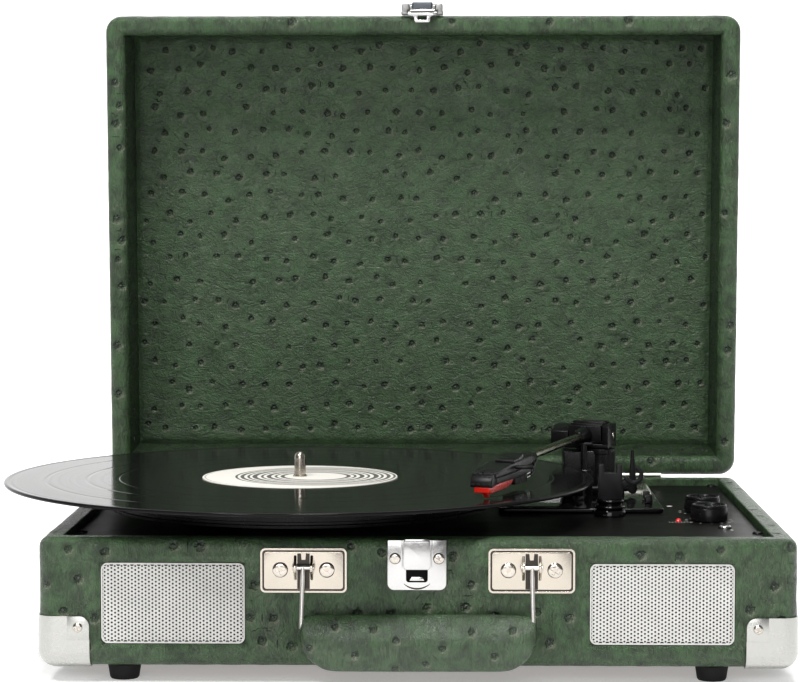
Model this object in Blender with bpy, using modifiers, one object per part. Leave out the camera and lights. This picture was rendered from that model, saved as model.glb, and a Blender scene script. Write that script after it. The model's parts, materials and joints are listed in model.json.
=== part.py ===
"""Suitcase record player with a covered case, a belt-driven platter and a pivoted tonearm.

Case coordinates: x from the left side, y from the front, z up from the underside of the case.
The world origin is under the middle of the whole object, on the surface that its feet stand on.
Moving groups hang under empties that stand on their joint axes.
"""
import bpy
import bmesh
from math import asin, cos, pi, radians, sin
from mathutils import Matrix

# Every size and place below is in millimetres; the helpers that make objects turn them into metres.
MM = 0.001
GAP = 0.3

# Case
CASE_W = 356
CASE_D = 260
BASE_H = 61
WALL = 10.8
EDGE_R = 7.5
DECK_Z = 57
DECK_T = 2.5
FLOOR_T = 4
FOOT_H = 8
FOOT_R = 8
FOOT_X = 38.5
FOOT_Y = 17
CAP = 24.2
CAP_T = 0.6

# Lid, in the closed position, measured from its hinge axis
HINGE_Y = CASE_D - 0.2
HINGE_Z = BASE_H + 0.8
LID_OPEN = 86.7
LID_REAR = 0.2
LID_RIM = 0.4
LID_H = 48.3
LID_TOP_T = 3.2
LINING_T = 1.2
HINGE_X = 284
HINGE_W = 30
KNUCKLE_R = 1.4
PIN_R = 0.7

# Front fittings
GRILLE_X = 29.7
GRILLE_W = 67.5
GRILLE_Z = 30.3
GRILLE_H = 38
GRILLE_T = 1.0
SPEAKER_R = 19
HANDLE_X = (124.9, 231.5)
HANDLE_Z = 47.8
HANDLE_Y = -3.2
PLATE_W = 40.4
PLATE_H = 20.9
PLATE_T = 1.2
PLATE_Z = 46.2
WIRE_R = 1.15
GRIP_Z = (-0.6, 26.4)
GRIP_Y = (-15.6, -1.0)
LATCH_X = 177.9
LATCH_W = 27.6
LATCH_Z = (37.0, 60.6)

# Turntable
SPIN_X = 116.5
SPIN_Y = 116
RECORD_R = 150.8
RECORD_TOP = 77.2
RECORD_T = 2.0
LABEL_R = 50
SPINDLE_R = 3.55
SPINDLE_TOP = 90
MAT_T = 1.4
PLATTER_R = 98
DRIVE_R = 62
PULLEY_R = 5
BELT_T = 0.7
BELT_Z = 62.5
BELT_H = 4
MOTOR_REACH = 84
MOTOR_AT = 135

# Tonearm
ARM_X = 268.5
ARM_Y = 197
ARM_YAW = 19.0
ARM_REACH = 181.9
LIFT_Y = 3
LIFT_Z = 91
ARM_BASE = (219, 304, 124.6, 245)
ARM_BASE_T = 2.4
REST_X = 275.5
REST_Y = 116
TUBE_R = 2.1

# Controls
KNOB_X = 324.4
KNOB_Y = (98.5, 133)
KNOB_R = 9.2
KNOB_H = 7.2
LED_AT = (308.7, 96)
JACK_AT = (329.2, 70)
SWITCH_X = 298
SWITCH_Y = {"speed_switch": 148, "autostop_switch": 164}

MOTOR_X = SPIN_X + MOTOR_REACH * cos(radians(MOTOR_AT))
MOTOR_Y = SPIN_Y + MOTOR_REACH * sin(radians(MOTOR_AT))
DECK_UNDER = DECK_Z - DECK_T
ARM_PLATE_TOP = DECK_Z + GAP + ARM_BASE_T

# The whole object's box: the record overhangs the left and the front, the lid the back.
BOX_LEFT = SPIN_X - RECORD_R
BOX_RIGHT = CASE_W + GAP + CAP_T
BOX_FRONT = SPIN_Y - RECORD_R
BOX_BACK = HINGE_Y + LID_H * sin(radians(LID_OPEN))
ORIGIN_X = (BOX_LEFT + BOX_RIGHT) / 2
ORIGIN_Y = (BOX_FRONT + BOX_BACK) / 2

for old in list(bpy.data.objects):
    bpy.data.objects.remove(old, do_unlink=True)

parts = bpy.data.collections.new("suitcase_record_player")
cutters = bpy.data.collections.new("cutters")
for group in (parts, cutters):
    bpy.context.scene.collection.children.link(group)


# ---------------------------------------------------------------- materials

def finish(name, colour, roughness, metallic=0.0):
    """One Principled material."""
    material = bpy.data.materials.new(name)
    material.use_nodes = True
    shader = material.node_tree.nodes["Principled BSDF"]
    shader.inputs["Base Color"].default_value = (*colour, 1)
    shader.inputs["Roughness"].default_value = roughness
    shader.inputs["Metallic"].default_value = metallic
    material.diffuse_color = (*colour, 1)
    return material


LEATHER = finish("green_covering", (0.045, 0.10, 0.055), 0.5)
LINING = finish("green_lining", (0.03, 0.07, 0.04), 0.55)
BLACK = finish("black_plastic", (0.012, 0.012, 0.013), 0.35)
GLOSS = finish("black_gloss_plastic", (0.006, 0.006, 0.007), 0.12)
DECK = finish("black_deck", (0.014, 0.014, 0.013), 0.45)
NICKEL = finish("nickel_plate", (0.78, 0.73, 0.68), 0.22, 1.0)
CHROME = finish("chrome", (0.82, 0.82, 0.82), 0.08, 1.0)
STEEL = finish("brushed_steel", (0.55, 0.54, 0.50), 0.35, 1.0)
CAP_METAL = finish("satin_cap", (0.80, 0.78, 0.75), 0.32, 1.0)
MESH_METAL = finish("painted_grille", (0.72, 0.71, 0.69), 0.5, 0.2)
RUBBER = finish("black_rubber", (0.012, 0.012, 0.012), 0.8)
VINYL = finish("record_vinyl", (0.004, 0.004, 0.004), 0.15)
PAPER = finish("label_paper", (0.80, 0.77, 0.70), 0.7)
RED = finish("red_plastic", (0.75, 0.03, 0.015), 0.3)
BOARD = finish("circuit_board", (0.02, 0.16, 0.07), 0.5)
WOOD = finish("panel_board", (0.12, 0.08, 0.05), 0.8)
LED_RED = finish("red_lens", (0.7, 0.02, 0.02), 0.15)


# ---------------------------------------------------------------- frames and objects

def frame(name, at, parent=None, tilt=(0, 0, 0)):
    """An empty that carries a group of pieces; at is in the parent's coordinates."""
    empty = bpy.data.objects.new(name, None)
    empty.empty_display_size = 0.02
    empty.location = [c * MM for c in at]
    empty.rotation_euler = [radians(t) for t in tilt]
    empty.parent = parent
    parts.objects.link(empty)
    return empty


CASE = frame("case_frame", (-ORIGIN_X, -ORIGIN_Y, FOOT_H))


def add(name, data, material, parent=CASE, at=(0, 0, 0), turn=(0, 0, 0)):
    """Links an object that carries data and a material."""
    obj = bpy.data.objects.new(name, data)
    obj.location = [c * MM for c in at]
    obj.rotation_euler = [radians(t) for t in turn]
    obj.parent = parent
    if material:
        data.materials.append(material)
        parts.objects.link(obj)
    else:
        cutters.objects.link(obj)
        obj.hide_render = True
        obj.display_type = "WIRE"
    return obj


def bevel(obj, width, segments=2, angle=40, weighted=False):
    """Rounded edges."""
    mod = obj.modifiers.new("Bevel", "BEVEL")
    mod.width = width * MM
    mod.segments = segments
    mod.limit_method = "WEIGHT" if weighted else "ANGLE"
    mod.angle_limit = radians(angle)
    return obj


def block(name, low, high, material=None, parent=CASE, soft=0.0, segments=2, turn=(0, 0, 0), at=(0, 0, 0)):
    """A box between two corners."""
    data = bpy.data.meshes.new(name)
    bm = bmesh.new()
    bmesh.ops.create_cube(bm, size=1)
    size = [h - l for l, h in zip(low, high)]
    middle = [(h + l) / 2 for l, h in zip(low, high)]
    shape = Matrix.Scale(MM, 4) @ Matrix.Translation(middle) @ Matrix.Diagonal((*size, 1))
    bmesh.ops.transform(bm, matrix=shape, verts=bm.verts)
    bm.to_mesh(data)
    bm.free()
    obj = add(name, data, material, parent, at, turn)
    if soft:
        bevel(obj, soft, segments)
    return obj


def smooth(data, angle=35):
    """Round pieces are shaded smooth between their sharp edges."""
    data.shade_smooth()
    data.set_sharp_from_angle(angle=radians(angle))


def drum(name, at, radius, z0, z1, material=None, parent=CASE, sides=32, top=None, turn=(0, 0, 0), soft=0.0):
    """A cylinder or cone along its own z, from z0 to z1."""
    data = bpy.data.meshes.new(name)
    bm = bmesh.new()
    upper = radius if top is None else top
    bmesh.ops.create_cone(bm, cap_ends=True, segments=sides, radius1=radius * MM, radius2=upper * MM,
                          depth=(z1 - z0) * MM)
    bmesh.ops.translate(bm, vec=(0, 0, (z0 + z1) / 2 * MM), verts=bm.verts)
    bm.to_mesh(data)
    bm.free()
    smooth(data)
    obj = add(name, data, material, parent, at, turn)
    if soft:
        bevel(obj, soft, 2)
    return obj


def turned(name, at, profile, material=None, parent=CASE, sides=32, turn=(0, 0, 0)):
    """A Screw profile of (radius, z) points, outer side from top to bottom."""
    data = bpy.data.meshes.new(name)
    bm = bmesh.new()
    corners = [bm.verts.new((r * MM, 0, z * MM)) for r, z in profile]
    for a, b in zip(corners, corners[1:]):
        bm.edges.new((a, b))
    if min(profile[0][0], profile[-1][0]) > 0:
        bm.edges.new((corners[-1], corners[0]))
    bm.to_mesh(data)
    bm.free()
    obj = add(name, data, material, parent, at, turn)
    mod = obj.modifiers.new("Screw", "SCREW")
    mod.steps = sides
    mod.render_steps = sides
    mod.use_merge_vertices = True
    mod.merge_threshold = 0.00001
    mod.use_smooth_shade = True
    return obj


def as_mesh(curve):
    """Turns a curve object into a welded mesh object."""
    bpy.context.view_layer.update()
    graph = bpy.context.evaluated_depsgraph_get()
    data = bpy.data.meshes.new_from_object(curve.evaluated_get(graph))
    bm = bmesh.new()
    bm.from_mesh(data)
    bmesh.ops.remove_doubles(bm, verts=bm.verts, dist=0.000002)
    bmesh.ops.recalc_face_normals(bm, faces=bm.faces)
    bm.to_mesh(data)
    bm.free()
    smooth(data)
    name = curve.name
    group = curve.users_collection[0]
    obj = bpy.data.objects.new(name + "_mesh", data)
    group.objects.link(obj)
    obj.parent = curve.parent
    obj.location = curve.location
    obj.rotation_euler = curve.rotation_euler
    obj.hide_render = curve.hide_render
    obj.display_type = curve.display_type
    bpy.data.objects.remove(curve, do_unlink=True)
    obj.name = name
    return obj


def plate(name, outlines, thickness, material=None, parent=CASE, at=(0, 0, 0), turn=(0, 0, 0)):
    """A flat plate of closed 2D outlines; its middle plane is the local XY plane."""
    data = bpy.data.curves.new(name, "CURVE")
    data.dimensions = "2D"
    data.fill_mode = "BOTH"
    data.extrude = thickness / 2 * MM
    data.render_resolution_u = 0
    for outline in outlines:
        spline = data.splines.new("POLY")
        spline.points.add(len(outline) - 1)
        for point, (x, y) in zip(spline.points, outline):
            point.co = (x * MM, y * MM, 0, 1)
        spline.use_cyclic_u = True
    return as_mesh(add(name, data, material, parent, at, turn))


def rod(name, points, radius, material=None, parent=CASE, at=(0, 0, 0), ring=3):
    """A round bar through points."""
    data = bpy.data.curves.new(name, "CURVE")
    data.dimensions = "3D"
    data.bevel_depth = radius * MM
    data.bevel_resolution = ring
    data.use_fill_caps = True
    data.render_resolution_u = 0
    spline = data.splines.new("POLY")
    spline.points.add(len(points) - 1)
    for point, place in zip(spline.points, points):
        point.co = (*(c * MM for c in place), 1)
    return as_mesh(add(name, data, material, parent, at))


def arc(cx, cy, radius, start, end, steps=8):
    """Points along an arc, in degrees."""
    span = [radians(start + (end - start) * i / steps) for i in range(steps + 1)]
    return [(cx + radius * cos(a), cy + radius * sin(a)) for a in span]


def rounded(x0, x1, y0, y1, radius, steps=4):
    """A rectangle's outline with round corners."""
    corners = ((x1 - radius, y0 + radius), (x1 - radius, y1 - radius), (x0 + radius, y1 - radius),
               (x0 + radius, y0 + radius))
    outline = []
    for quarter, (x, y) in enumerate(corners):
        outline += arc(x, y, radius, 90 * quarter - 90, 90 * quarter, steps)
    return outline


def combine(obj, tool, operation):
    """A Boolean with a tool that stays among the cutters."""
    mod = obj.modifiers.new(operation.title(), "BOOLEAN")
    mod.operation = operation
    mod.solver = "EXACT"
    mod.object = tool
    return obj


def cut(obj, *tools):
    for tool in tools:
        combine(obj, tool, "DIFFERENCE")
    return obj


def fuse(obj, *tools):
    for tool in tools:
        combine(obj, tool, "UNION")
    return obj


# ---------------------------------------------------------------- case

def soft_case(name, material, grow=0.0):
    """The base's outer form: large radii at the bottom and the corners, small ones at the top."""
    obj = block(name, (-grow, -grow, -grow), (CASE_W + grow, CASE_D + grow, BASE_H + grow), material)
    weights = obj.data.attributes.new("bevel_weight_edge", "FLOAT", "EDGE")
    middle = BASE_H / 2 * MM
    for edge in obj.data.edges:
        high = all(obj.data.vertices[v].co.z > middle for v in edge.vertices)
        weights.data[edge.index].value = 0.6 if high else 1.0
    return bevel(obj, EDGE_R + grow, 4, weighted=True)


def pocket_cutters(side, x0):
    """The shallow pocket for a grille and the round opening behind it."""
    middle = x0 + GRILLE_W / 2
    half_w = GRILLE_W / 2 + GAP
    half_h = GRILLE_H / 2 + GAP
    pocket = plate(f"grille_pocket_{side}", [rounded(-half_w, half_w, -half_h, half_h, 3.3)], 3.4,
                   at=(middle, 0, GRILLE_Z), turn=(90, 0, 0))
    bore = drum(f"speaker_bore_{side}", (middle, WALL / 2, GRILLE_Z), SPEAKER_R - 1.5, -8, 8,
                turn=(90, 0, 0), sides=24)
    return pocket, bore


JACK_PANEL_X = 300
JACK_PANEL_Z = 30

base_shell = soft_case("base_shell", LEATHER)
cut(base_shell, block("base_hollow", (WALL, WALL, -5), (CASE_W - WALL, CASE_D - WALL, BASE_H + 5)))
for side, start in (("left", GRILLE_X), ("right", CASE_W - GRILLE_X - GRILLE_W)):
    cut(base_shell, *pocket_cutters(side, start))
cut(base_shell, block("jack_opening", (JACK_PANEL_X - 22, CASE_D - WALL - 2, JACK_PANEL_Z - 9),
                      (JACK_PANEL_X + 22, CASE_D + 2, JACK_PANEL_Z + 9)))

inner_low = (WALL + GAP, WALL + GAP)
inner_high = (CASE_W - WALL - GAP, CASE_D - WALL - GAP)
block("bottom_panel", (*inner_low, 0.4), (*inner_high, 0.4 + FLOOR_T), WOOD)

deck = block("deck_plate", (*inner_low, DECK_UNDER), (*inner_high, DECK_Z), DECK)
cut(deck, drum("bearing_hole", (SPIN_X, SPIN_Y, DECK_Z), 7.4, -8, 8, sides=24),
    drum("pulley_hole", (MOTOR_X, MOTOR_Y, DECK_Z), 7.5, -8, 8, sides=24),
    drum("jack_hole", (*JACK_AT, DECK_Z), 3.3, -8, 8, sides=16),
    drum("led_hole", (*LED_AT, DECK_Z), 1.8, -8, 8, sides=16))
for number, y in enumerate(KNOB_Y):
    cut(deck, drum(f"shaft_hole_{number}", (KNOB_X, y, DECK_Z), 3.6, -8, 8, sides=16))

for front, y in (("front", FOOT_Y), ("rear", CASE_D - FOOT_Y)):
    for side, x in (("left", FOOT_X), ("right", CASE_W - FOOT_X)):
        drum(f"foot_{front}_{side}", (x, y, 0), FOOT_R - 1.2, -FOOT_H, -GAP, RUBBER, top=FOOT_R, sides=24)

for front, y0, flip_y in (("front", 0, 1), ("rear", CASE_D, -1)):
    for side, x0, flip_x in (("left", 0, 1), ("right", CASE_W, -1)):
        tag = f"{front}_{side}"
        out = GAP + CAP_T
        low = (min(x0 - flip_x * out, x0 + flip_x * CAP), min(y0 - flip_y * out, y0 + flip_y * CAP), -out)
        high = (max(x0 - flip_x * out, x0 + flip_x * CAP), max(y0 - flip_y * out, y0 + flip_y * CAP), CAP)
        cap = soft_case(f"corner_cap_{tag}", CAP_METAL, out)
        combine(cap, block(f"cap_reach_{tag}", low, high), "INTERSECT")
        cut(cap, soft_case(f"cap_inside_{tag}", None, GAP))


def grille(side, x0):
    """The flat grille panel of one speaker; its holes belong to the surface."""
    outline = rounded(-GRILLE_W / 2, GRILLE_W / 2, -GRILLE_H / 2, GRILLE_H / 2, 3)
    plate(f"grille_{side}", [outline], GRILLE_T, MESH_METAL, at=(x0 + GRILLE_W / 2, 0.9, GRILLE_Z),
          turn=(90, 0, 0))


def speaker(side, x0):
    """A small driver behind the front wall: a framed cone and its magnet, facing the front."""
    face = WALL + GAP
    profile = [(0, 26), (14, 26), (14, 16), (11, 16), (19.5, 3),
               (21.5, 1.4), (21.5, 0), (18, 0), (16.5, 1), (7, 8),
               (4, 6), (0, 5)]
    turned(f"speaker_{side}", (x0 + GRILLE_W / 2, face, GRILLE_Z), profile, BLACK, turn=(-90, 0, 0), sides=20)


for side, start in (("left", GRILLE_X), ("right", CASE_W - GRILLE_X - GRILLE_W)):
    grille(side, start)
    speaker(side, start)


# ---------------------------------------------------------------- handle

HANDLE_MID = (HANDLE_X[0] + HANDLE_X[1]) / 2
handle = frame("handle_axis", (HANDLE_MID, HANDLE_Y, HANDLE_Z), CASE)


def handle_plate(side, x):
    """A screwed plate whose two lugs hold the hanger's pivot."""
    y_mid = -GAP - PLATE_T / 2
    outline = rounded(-PLATE_W / 2, PLATE_W / 2, -PLATE_H / 2, PLATE_H / 2, 2, 3)
    slot = rounded(-3, 3, -8, 8, 0.8, 2)
    body = plate(f"handle_plate_{side}", [outline, slot], PLATE_T, NICKEL,
                 at=(x, y_mid, PLATE_Z), turn=(90, 0, 0))
    front = HANDLE_Y - 2.2
    for sign in (-1, 1):
        inner, outer = sign * 3.1, sign * 4.7
        lug = block(f"lug_{side}_{'left' if sign < 0 else 'right'}",
                    (x + min(inner, outer), front, HANDLE_Z - 2.4),
                    (x + max(inner, outer), -GAP - PLATE_T / 2, HANDLE_Z + 2.4))
        fuse(body, lug)
    cut(body, drum(f"lug_bore_{side}", (x, HANDLE_Y, HANDLE_Z), WIRE_R + GAP, -6, 6, sides=16,
                   turn=(0, 90, 0)))
    for number, offset in enumerate((-10.9, 10.9)):
        fuse(body, drum(f"handle_screw_{side}_{number}", (x + offset, -GAP - PLATE_T, PLATE_Z), 3.7,
                        -1.3 + PLATE_T / 2, 1.3, sides=16, turn=(90, 0, 0), top=2.2))
    return body


def hanger(side, x):
    """A bent wire: its cross pin turns in the lugs and its leg runs down into the grip."""
    local = x - HANDLE_MID
    leg_end = GRIP_Z[1] - 6 - HANDLE_Z
    grip_y = (GRIP_Y[0] + GRIP_Y[1]) / 2 - HANDLE_Y
    pin = drum(f"hanger_{side}", (local, 0, 0), WIRE_R, -5.2, 5.2, NICKEL, handle, sides=12, turn=(0, 90, 0))
    leg = rod(f"hanger_leg_{side}", [(0, 0, 0), (0, -0.6, -12), (0, grip_y, leg_end)], WIRE_R,
              parent=handle, at=(local, 0, 0), ring=2)
    fuse(pin, leg)


for side, x in zip(("left", "right"), HANDLE_X):
    handle_plate(side, x)
    hanger(side, x)

grip_half = (HANDLE_X[1] - HANDLE_X[0]) / 2 + 1.4
grip = block("handle_grip", (-grip_half, GRIP_Y[0] - HANDLE_Y, GRIP_Z[0] - HANDLE_Z),
             (grip_half, GRIP_Y[1] - HANDLE_Y, GRIP_Z[1] - HANDLE_Z), LEATHER, handle, soft=5.5, segments=3)
for side, x in zip(("left", "right"), HANDLE_X):
    cut(grip, block(f"hanger_socket_{side}", (x - HANDLE_MID - WIRE_R - GAP, GRIP_Y[0] - HANDLE_Y + 4,
                                              GRIP_Z[1] - 7.5 - HANDLE_Z),
                    (x - HANDLE_MID + WIRE_R + GAP, 6, GRIP_Z[1] + 2 - HANDLE_Z), parent=handle))


# ---------------------------------------------------------------- front latch

latch_mid = (LATCH_Z[0] + LATCH_Z[1]) / 2
latch_half = (LATCH_Z[1] - LATCH_Z[0]) / 2
latch_slot = rounded(-5, 5, 41 - latch_mid, 55 - latch_mid, 0.6, 2)
latch_edge = rounded(-LATCH_W / 2, LATCH_W / 2, -latch_half, latch_half, 2.4, 3)
latch = plate("latch_plate", [latch_edge, latch_slot], 1.4, CHROME, at=(LATCH_X, -GAP - 0.7, latch_mid),
              turn=(90, 0, 0))
for number, offset in enumerate((-10.2, 10.2)):
    fuse(latch, drum(f"latch_screw_{number}", (LATCH_X + offset, -GAP - 1.4, 52), 2.7, -0.6, 1,
                     sides=16, turn=(90, 0, 0), top=1.8))

latch_slide = frame("latch_slide_axis", (LATCH_X, -2.2, 53), CASE)
catch = block("latch_catch", (-6.3, -2.2, -6.2), (6.3, 0.2, 7.6), CHROME, latch_slide,
              soft=0.5)
fuse(catch, block("catch_stem", (-4.4, -0.5, -2.4), (4.4, 1.6, 1.7), parent=latch_slide))


# ---------------------------------------------------------------- lid and hinges

lid = frame("lid_axis", (0, HINGE_Y, HINGE_Z), CASE, (-LID_OPEN, 0, 0))
LID_FRONT = LID_REAR - CASE_D

lid_shell = block("lid_shell", (0, LID_FRONT, LID_RIM), (CASE_W, LID_REAR, LID_RIM + LID_H), LEATHER, lid)
lid_weights = lid_shell.data.attributes.new("bevel_weight_edge", "FLOAT", "EDGE")
for edge in lid_shell.data.edges:
    ends = [lid_shell.data.vertices[v].co for v in edge.vertices]
    upright = abs(ends[0].z - ends[1].z) > LID_H / 2 * MM
    lid_weights.data[edge.index].value = 1.0 if upright else 0.45
bevel(lid_shell, 9, 4, weighted=True)
cut(lid_shell, block("lid_hollow", (WALL, LID_FRONT + WALL, -5),
                     (CASE_W - WALL, LID_REAR - WALL, LID_RIM + LID_H - LID_TOP_T), parent=lid))
lining_top = LID_RIM + LID_H - LID_TOP_T - GAP
block("lid_lining", (WALL + GAP, LID_FRONT + WALL + GAP, lining_top - LINING_T),
      (CASE_W - WALL - GAP, LID_REAR - WALL - GAP, lining_top), LINING, lid)


def hinge(side, x):
    """A butt hinge: the base leaf carries the pin, and the lid leaf turns on its middle knuckle."""
    third = HINGE_W / 3
    outside = CASE_D + 0.05
    base_leaf = block(f"hinge_leaf_base_{side}", (x, outside, HINGE_Z - 18),
                      (x + HINGE_W, outside + 0.8, HINGE_Z - 1.9), STEEL)
    for number, start in enumerate((0.0, 2 * third)):
        tab = block(f"base_tab_{side}_{number}", (x + start, outside, HINGE_Z - 3),
                    (x + start + third - 0.2, outside + 0.8, HINGE_Z))
        knuckle = drum(f"base_knuckle_{side}_{number}", (x + start, HINGE_Y, HINGE_Z), KNUCKLE_R, 0,
                       third - 0.2, sides=16, turn=(0, 90, 0))
        fuse(base_leaf, tab, knuckle)
    fuse(base_leaf, drum(f"hinge_pin_{side}", (x, HINGE_Y, HINGE_Z), PIN_R, 0.5, HINGE_W - 0.7, sides=12,
                         turn=(0, 90, 0)))
    face = LID_REAR + 0.05
    lid_leaf = block(f"hinge_leaf_lid_{side}", (x, face, 1.9), (x + HINGE_W, face + 0.8, 17), STEEL, lid)
    low, high = x + third + 0.1, x + 2 * third - 0.3
    tab = block(f"lid_tab_{side}", (low, face, 0), (high, face + 0.8, 3), parent=lid)
    knuckle = drum(f"lid_knuckle_{side}", (low, 0, 0), KNUCKLE_R, 0, high - low, parent=lid, sides=16,
                   turn=(0, 90, 0))
    fuse(lid_leaf, tab, knuckle)
    cut(lid_leaf, drum(f"lid_knuckle_bore_{side}", (low, 0, 0), PIN_R + 0.25, -2, third + 2, parent=lid,
                       sides=12, turn=(0, 90, 0)))


hinge("left", CASE_W - HINGE_X - HINGE_W)
hinge("right", HINGE_X)

# The lid's half of the latch lies on its front wall; its hasp hangs over the rim.
HASP_X = LATCH_X
hasp_plate = block("lid_latch_plate", (HASP_X - 11.5, LID_FRONT - 1.3, 4.5),
                   (HASP_X + 11.5, LID_FRONT - GAP, 19), CHROME, lid, soft=0.3)
fuse(hasp_plate, block("latch_housing", (HASP_X - 5.8, LID_FRONT - 4.6, 7),
                       (HASP_X + 5.8, LID_FRONT - 0.8, 17), parent=lid))
HASP_Y = LID_FRONT - 2.9
HASP_Z = -0.6
HASP_R = 0.9
for side, sign in (("left", -1), ("right", 1)):
    near, far = HASP_X + sign * 6.5, HASP_X + sign * 9.5
    fuse(hasp_plate, block(f"hasp_lug_{side}", (min(near, far), HASP_Y - 1.3, 0.2),
                           (max(near, far), LID_FRONT - 0.8, 5.5), parent=lid),
         block(f"hasp_eye_{side}", (min(near, far), HASP_Y - 1.3, HASP_Z - 1.3),
               (max(near, far), HASP_Y + 1.1, 1), parent=lid))
HASP_PIN_R = 0.6
cut(hasp_plate, drum("hasp_bore", (HASP_X, HASP_Y, HASP_Z), HASP_PIN_R + GAP, -12, 12, parent=lid, sides=12,
                     turn=(0, 90, 0)))
hasp_axis = frame("hasp_axis", (HASP_X, HASP_Y, HASP_Z), lid, (LID_OPEN, 0, 0))
hasp = drum("lid_hasp", (0, 0, 0), HASP_R, -6.2, 6.2, CHROME, hasp_axis, sides=12, turn=(0, 90, 0))
tongue = plate("hasp_tongue", [rounded(-4.3, 4.3, -6.6, 0.2, 1, 3),
                               rounded(-2.4, 2.4, -5.0, -2.4, 0.5, 2)], HASP_R,
               parent=hasp_axis, at=(0, -HASP_R / 2, 0), turn=(90, 0, 0))
fuse(hasp, tongue,
     drum("hasp_pin", (0, 0, 0), HASP_PIN_R, -8.6, 8.6, parent=hasp_axis, sides=12, turn=(0, 90, 0)))


# ---------------------------------------------------------------- turntable

spin = frame("platter_axis", (SPIN_X, SPIN_Y, 0), CASE)
MAT_TOP = RECORD_TOP - RECORD_T - GAP
PLATTER_TOP = MAT_TOP - MAT_T - GAP

turned("platter_bearing", (SPIN_X, SPIN_Y, 0),
       [(0, 36), (SPINDLE_R + GAP, 36), (SPINDLE_R + GAP, DECK_Z + 2), (12, DECK_Z + 2),
        (12, DECK_Z + GAP), (7, DECK_Z + GAP), (7, 34), (0, 34)], STEEL, sides=24)

turned("spindle", (0, 0, 0), [(0, SPINDLE_TOP), (1.6, SPINDLE_TOP - 0.4), (2.9, SPINDLE_TOP - 1.7),
                              (SPINDLE_R, SPINDLE_TOP - 3.6), (SPINDLE_R, 36.4), (0, 36.4)], CHROME, spin,
       sides=20)

hub = SPINDLE_R + GAP
turned("platter", (0, 0, 0),
       [(hub, PLATTER_TOP), (PLATTER_R - 1.5, PLATTER_TOP), (PLATTER_R, PLATTER_TOP - 1.5),
        (PLATTER_R, 63), (PLATTER_R - 2, 63), (PLATTER_R - 2, PLATTER_TOP - 3),
        (DRIVE_R, PLATTER_TOP - 3), (DRIVE_R, 60), (DRIVE_R - 2, 60),
        (DRIVE_R - 2, PLATTER_TOP - 3), (10, PLATTER_TOP - 3), (10, 61), (hub, 61)],
       BLACK, spin, sides=48)
MAT_R = 96
MAT_UNDER = MAT_TOP - MAT_T
turned("platter_mat", (0, 0, 0), [(hub, MAT_TOP), (MAT_R, MAT_TOP), (MAT_R, MAT_UNDER), (hub, MAT_UNDER)],
       RUBBER, spin, sides=40)

groove_z = RECORD_TOP - 0.25
seat_z = RECORD_TOP - 0.6
turned("record", (0, 0, 0),
       [(hub, seat_z), (LABEL_R + GAP, seat_z), (LABEL_R + GAP + 0.2, groove_z), (RECORD_R - 3, groove_z),
        (RECORD_R - 1, RECORD_TOP), (RECORD_R, RECORD_TOP - RECORD_T / 2),
        (RECORD_R - 1, RECORD_TOP - RECORD_T),
        (hub, RECORD_TOP - RECORD_T)], VINYL, spin, sides=72)
turned("record_label", (0, 0, 0), [(hub, seat_z + GAP + 0.25), (LABEL_R, seat_z + GAP + 0.25),
                                   (LABEL_R, seat_z + GAP), (hub, seat_z + GAP)], PAPER, spin, sides=40)

pulley_axis = frame("pulley_axis", (MOTOR_X, MOTOR_Y, 0), CASE)
turned("motor_pulley", (0, 0, 0), [(0, 66.5), (2, 66.5), (2, 65.4), (PULLEY_R + 1.2, 65.4),
                                   (PULLEY_R, 65), (PULLEY_R, 60.2), (PULLEY_R + 1.2, 59.8),
                                   (PULLEY_R + 1.2, 59), (1.1, 59), (1.1, 50), (0, 50)],
       STEEL, pulley_axis, sides=16)
turned("motor", (MOTOR_X, MOTOR_Y, 0), [(0, 49.5), (1.5, 49.5), (1.5, 52), (5, 52),
                                        (5, 50.5), (17.5, 50.5), (17.5, 24), (0, 24)],
       STEEL, sides=24)


def belt_outline(grow):
    """The outline around the drive ring and the pulley, grow outside both."""
    big, small = DRIVE_R + grow, PULLEY_R + grow
    lean = asin((big - small) / MOTOR_REACH)
    course = radians(MOTOR_AT)
    side = pi / 2 - lean
    large = [course + side + (2 * pi - 2 * side) * i / 28 for i in range(29)]
    tiny = [course - side + 2 * side * i / 8 for i in range(9)]
    return ([(SPIN_X + big * cos(a), SPIN_Y + big * sin(a)) for a in large]
            + [(MOTOR_X + small * cos(a), MOTOR_Y + small * sin(a)) for a in tiny])


plate("drive_belt", [belt_outline(GAP + BELT_T), belt_outline(GAP)], BELT_H, RUBBER, at=(0, 0, BELT_Z))


# ---------------------------------------------------------------- tonearm support

x0, x1, y0, y1 = ARM_BASE
plate("arm_base", [rounded(x0, x1, y0, y1, 3, 3)], ARM_BASE_T, GLOSS,
      at=(0, 0, DECK_Z + GAP + ARM_BASE_T / 2))

TOWER_TOP = 84
TOWER_BORE_R = 4.4
tower = block("pivot_tower", (ARM_X - 13.6, ARM_Y - 11, ARM_PLATE_TOP + GAP),
              (ARM_X + 14.4, ARM_Y + 11, TOWER_TOP), BLACK, soft=1.5)
cut(tower, drum("tower_bore", (ARM_X, ARM_Y, TOWER_TOP), TOWER_BORE_R, -15, 5, sides=20))

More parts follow.
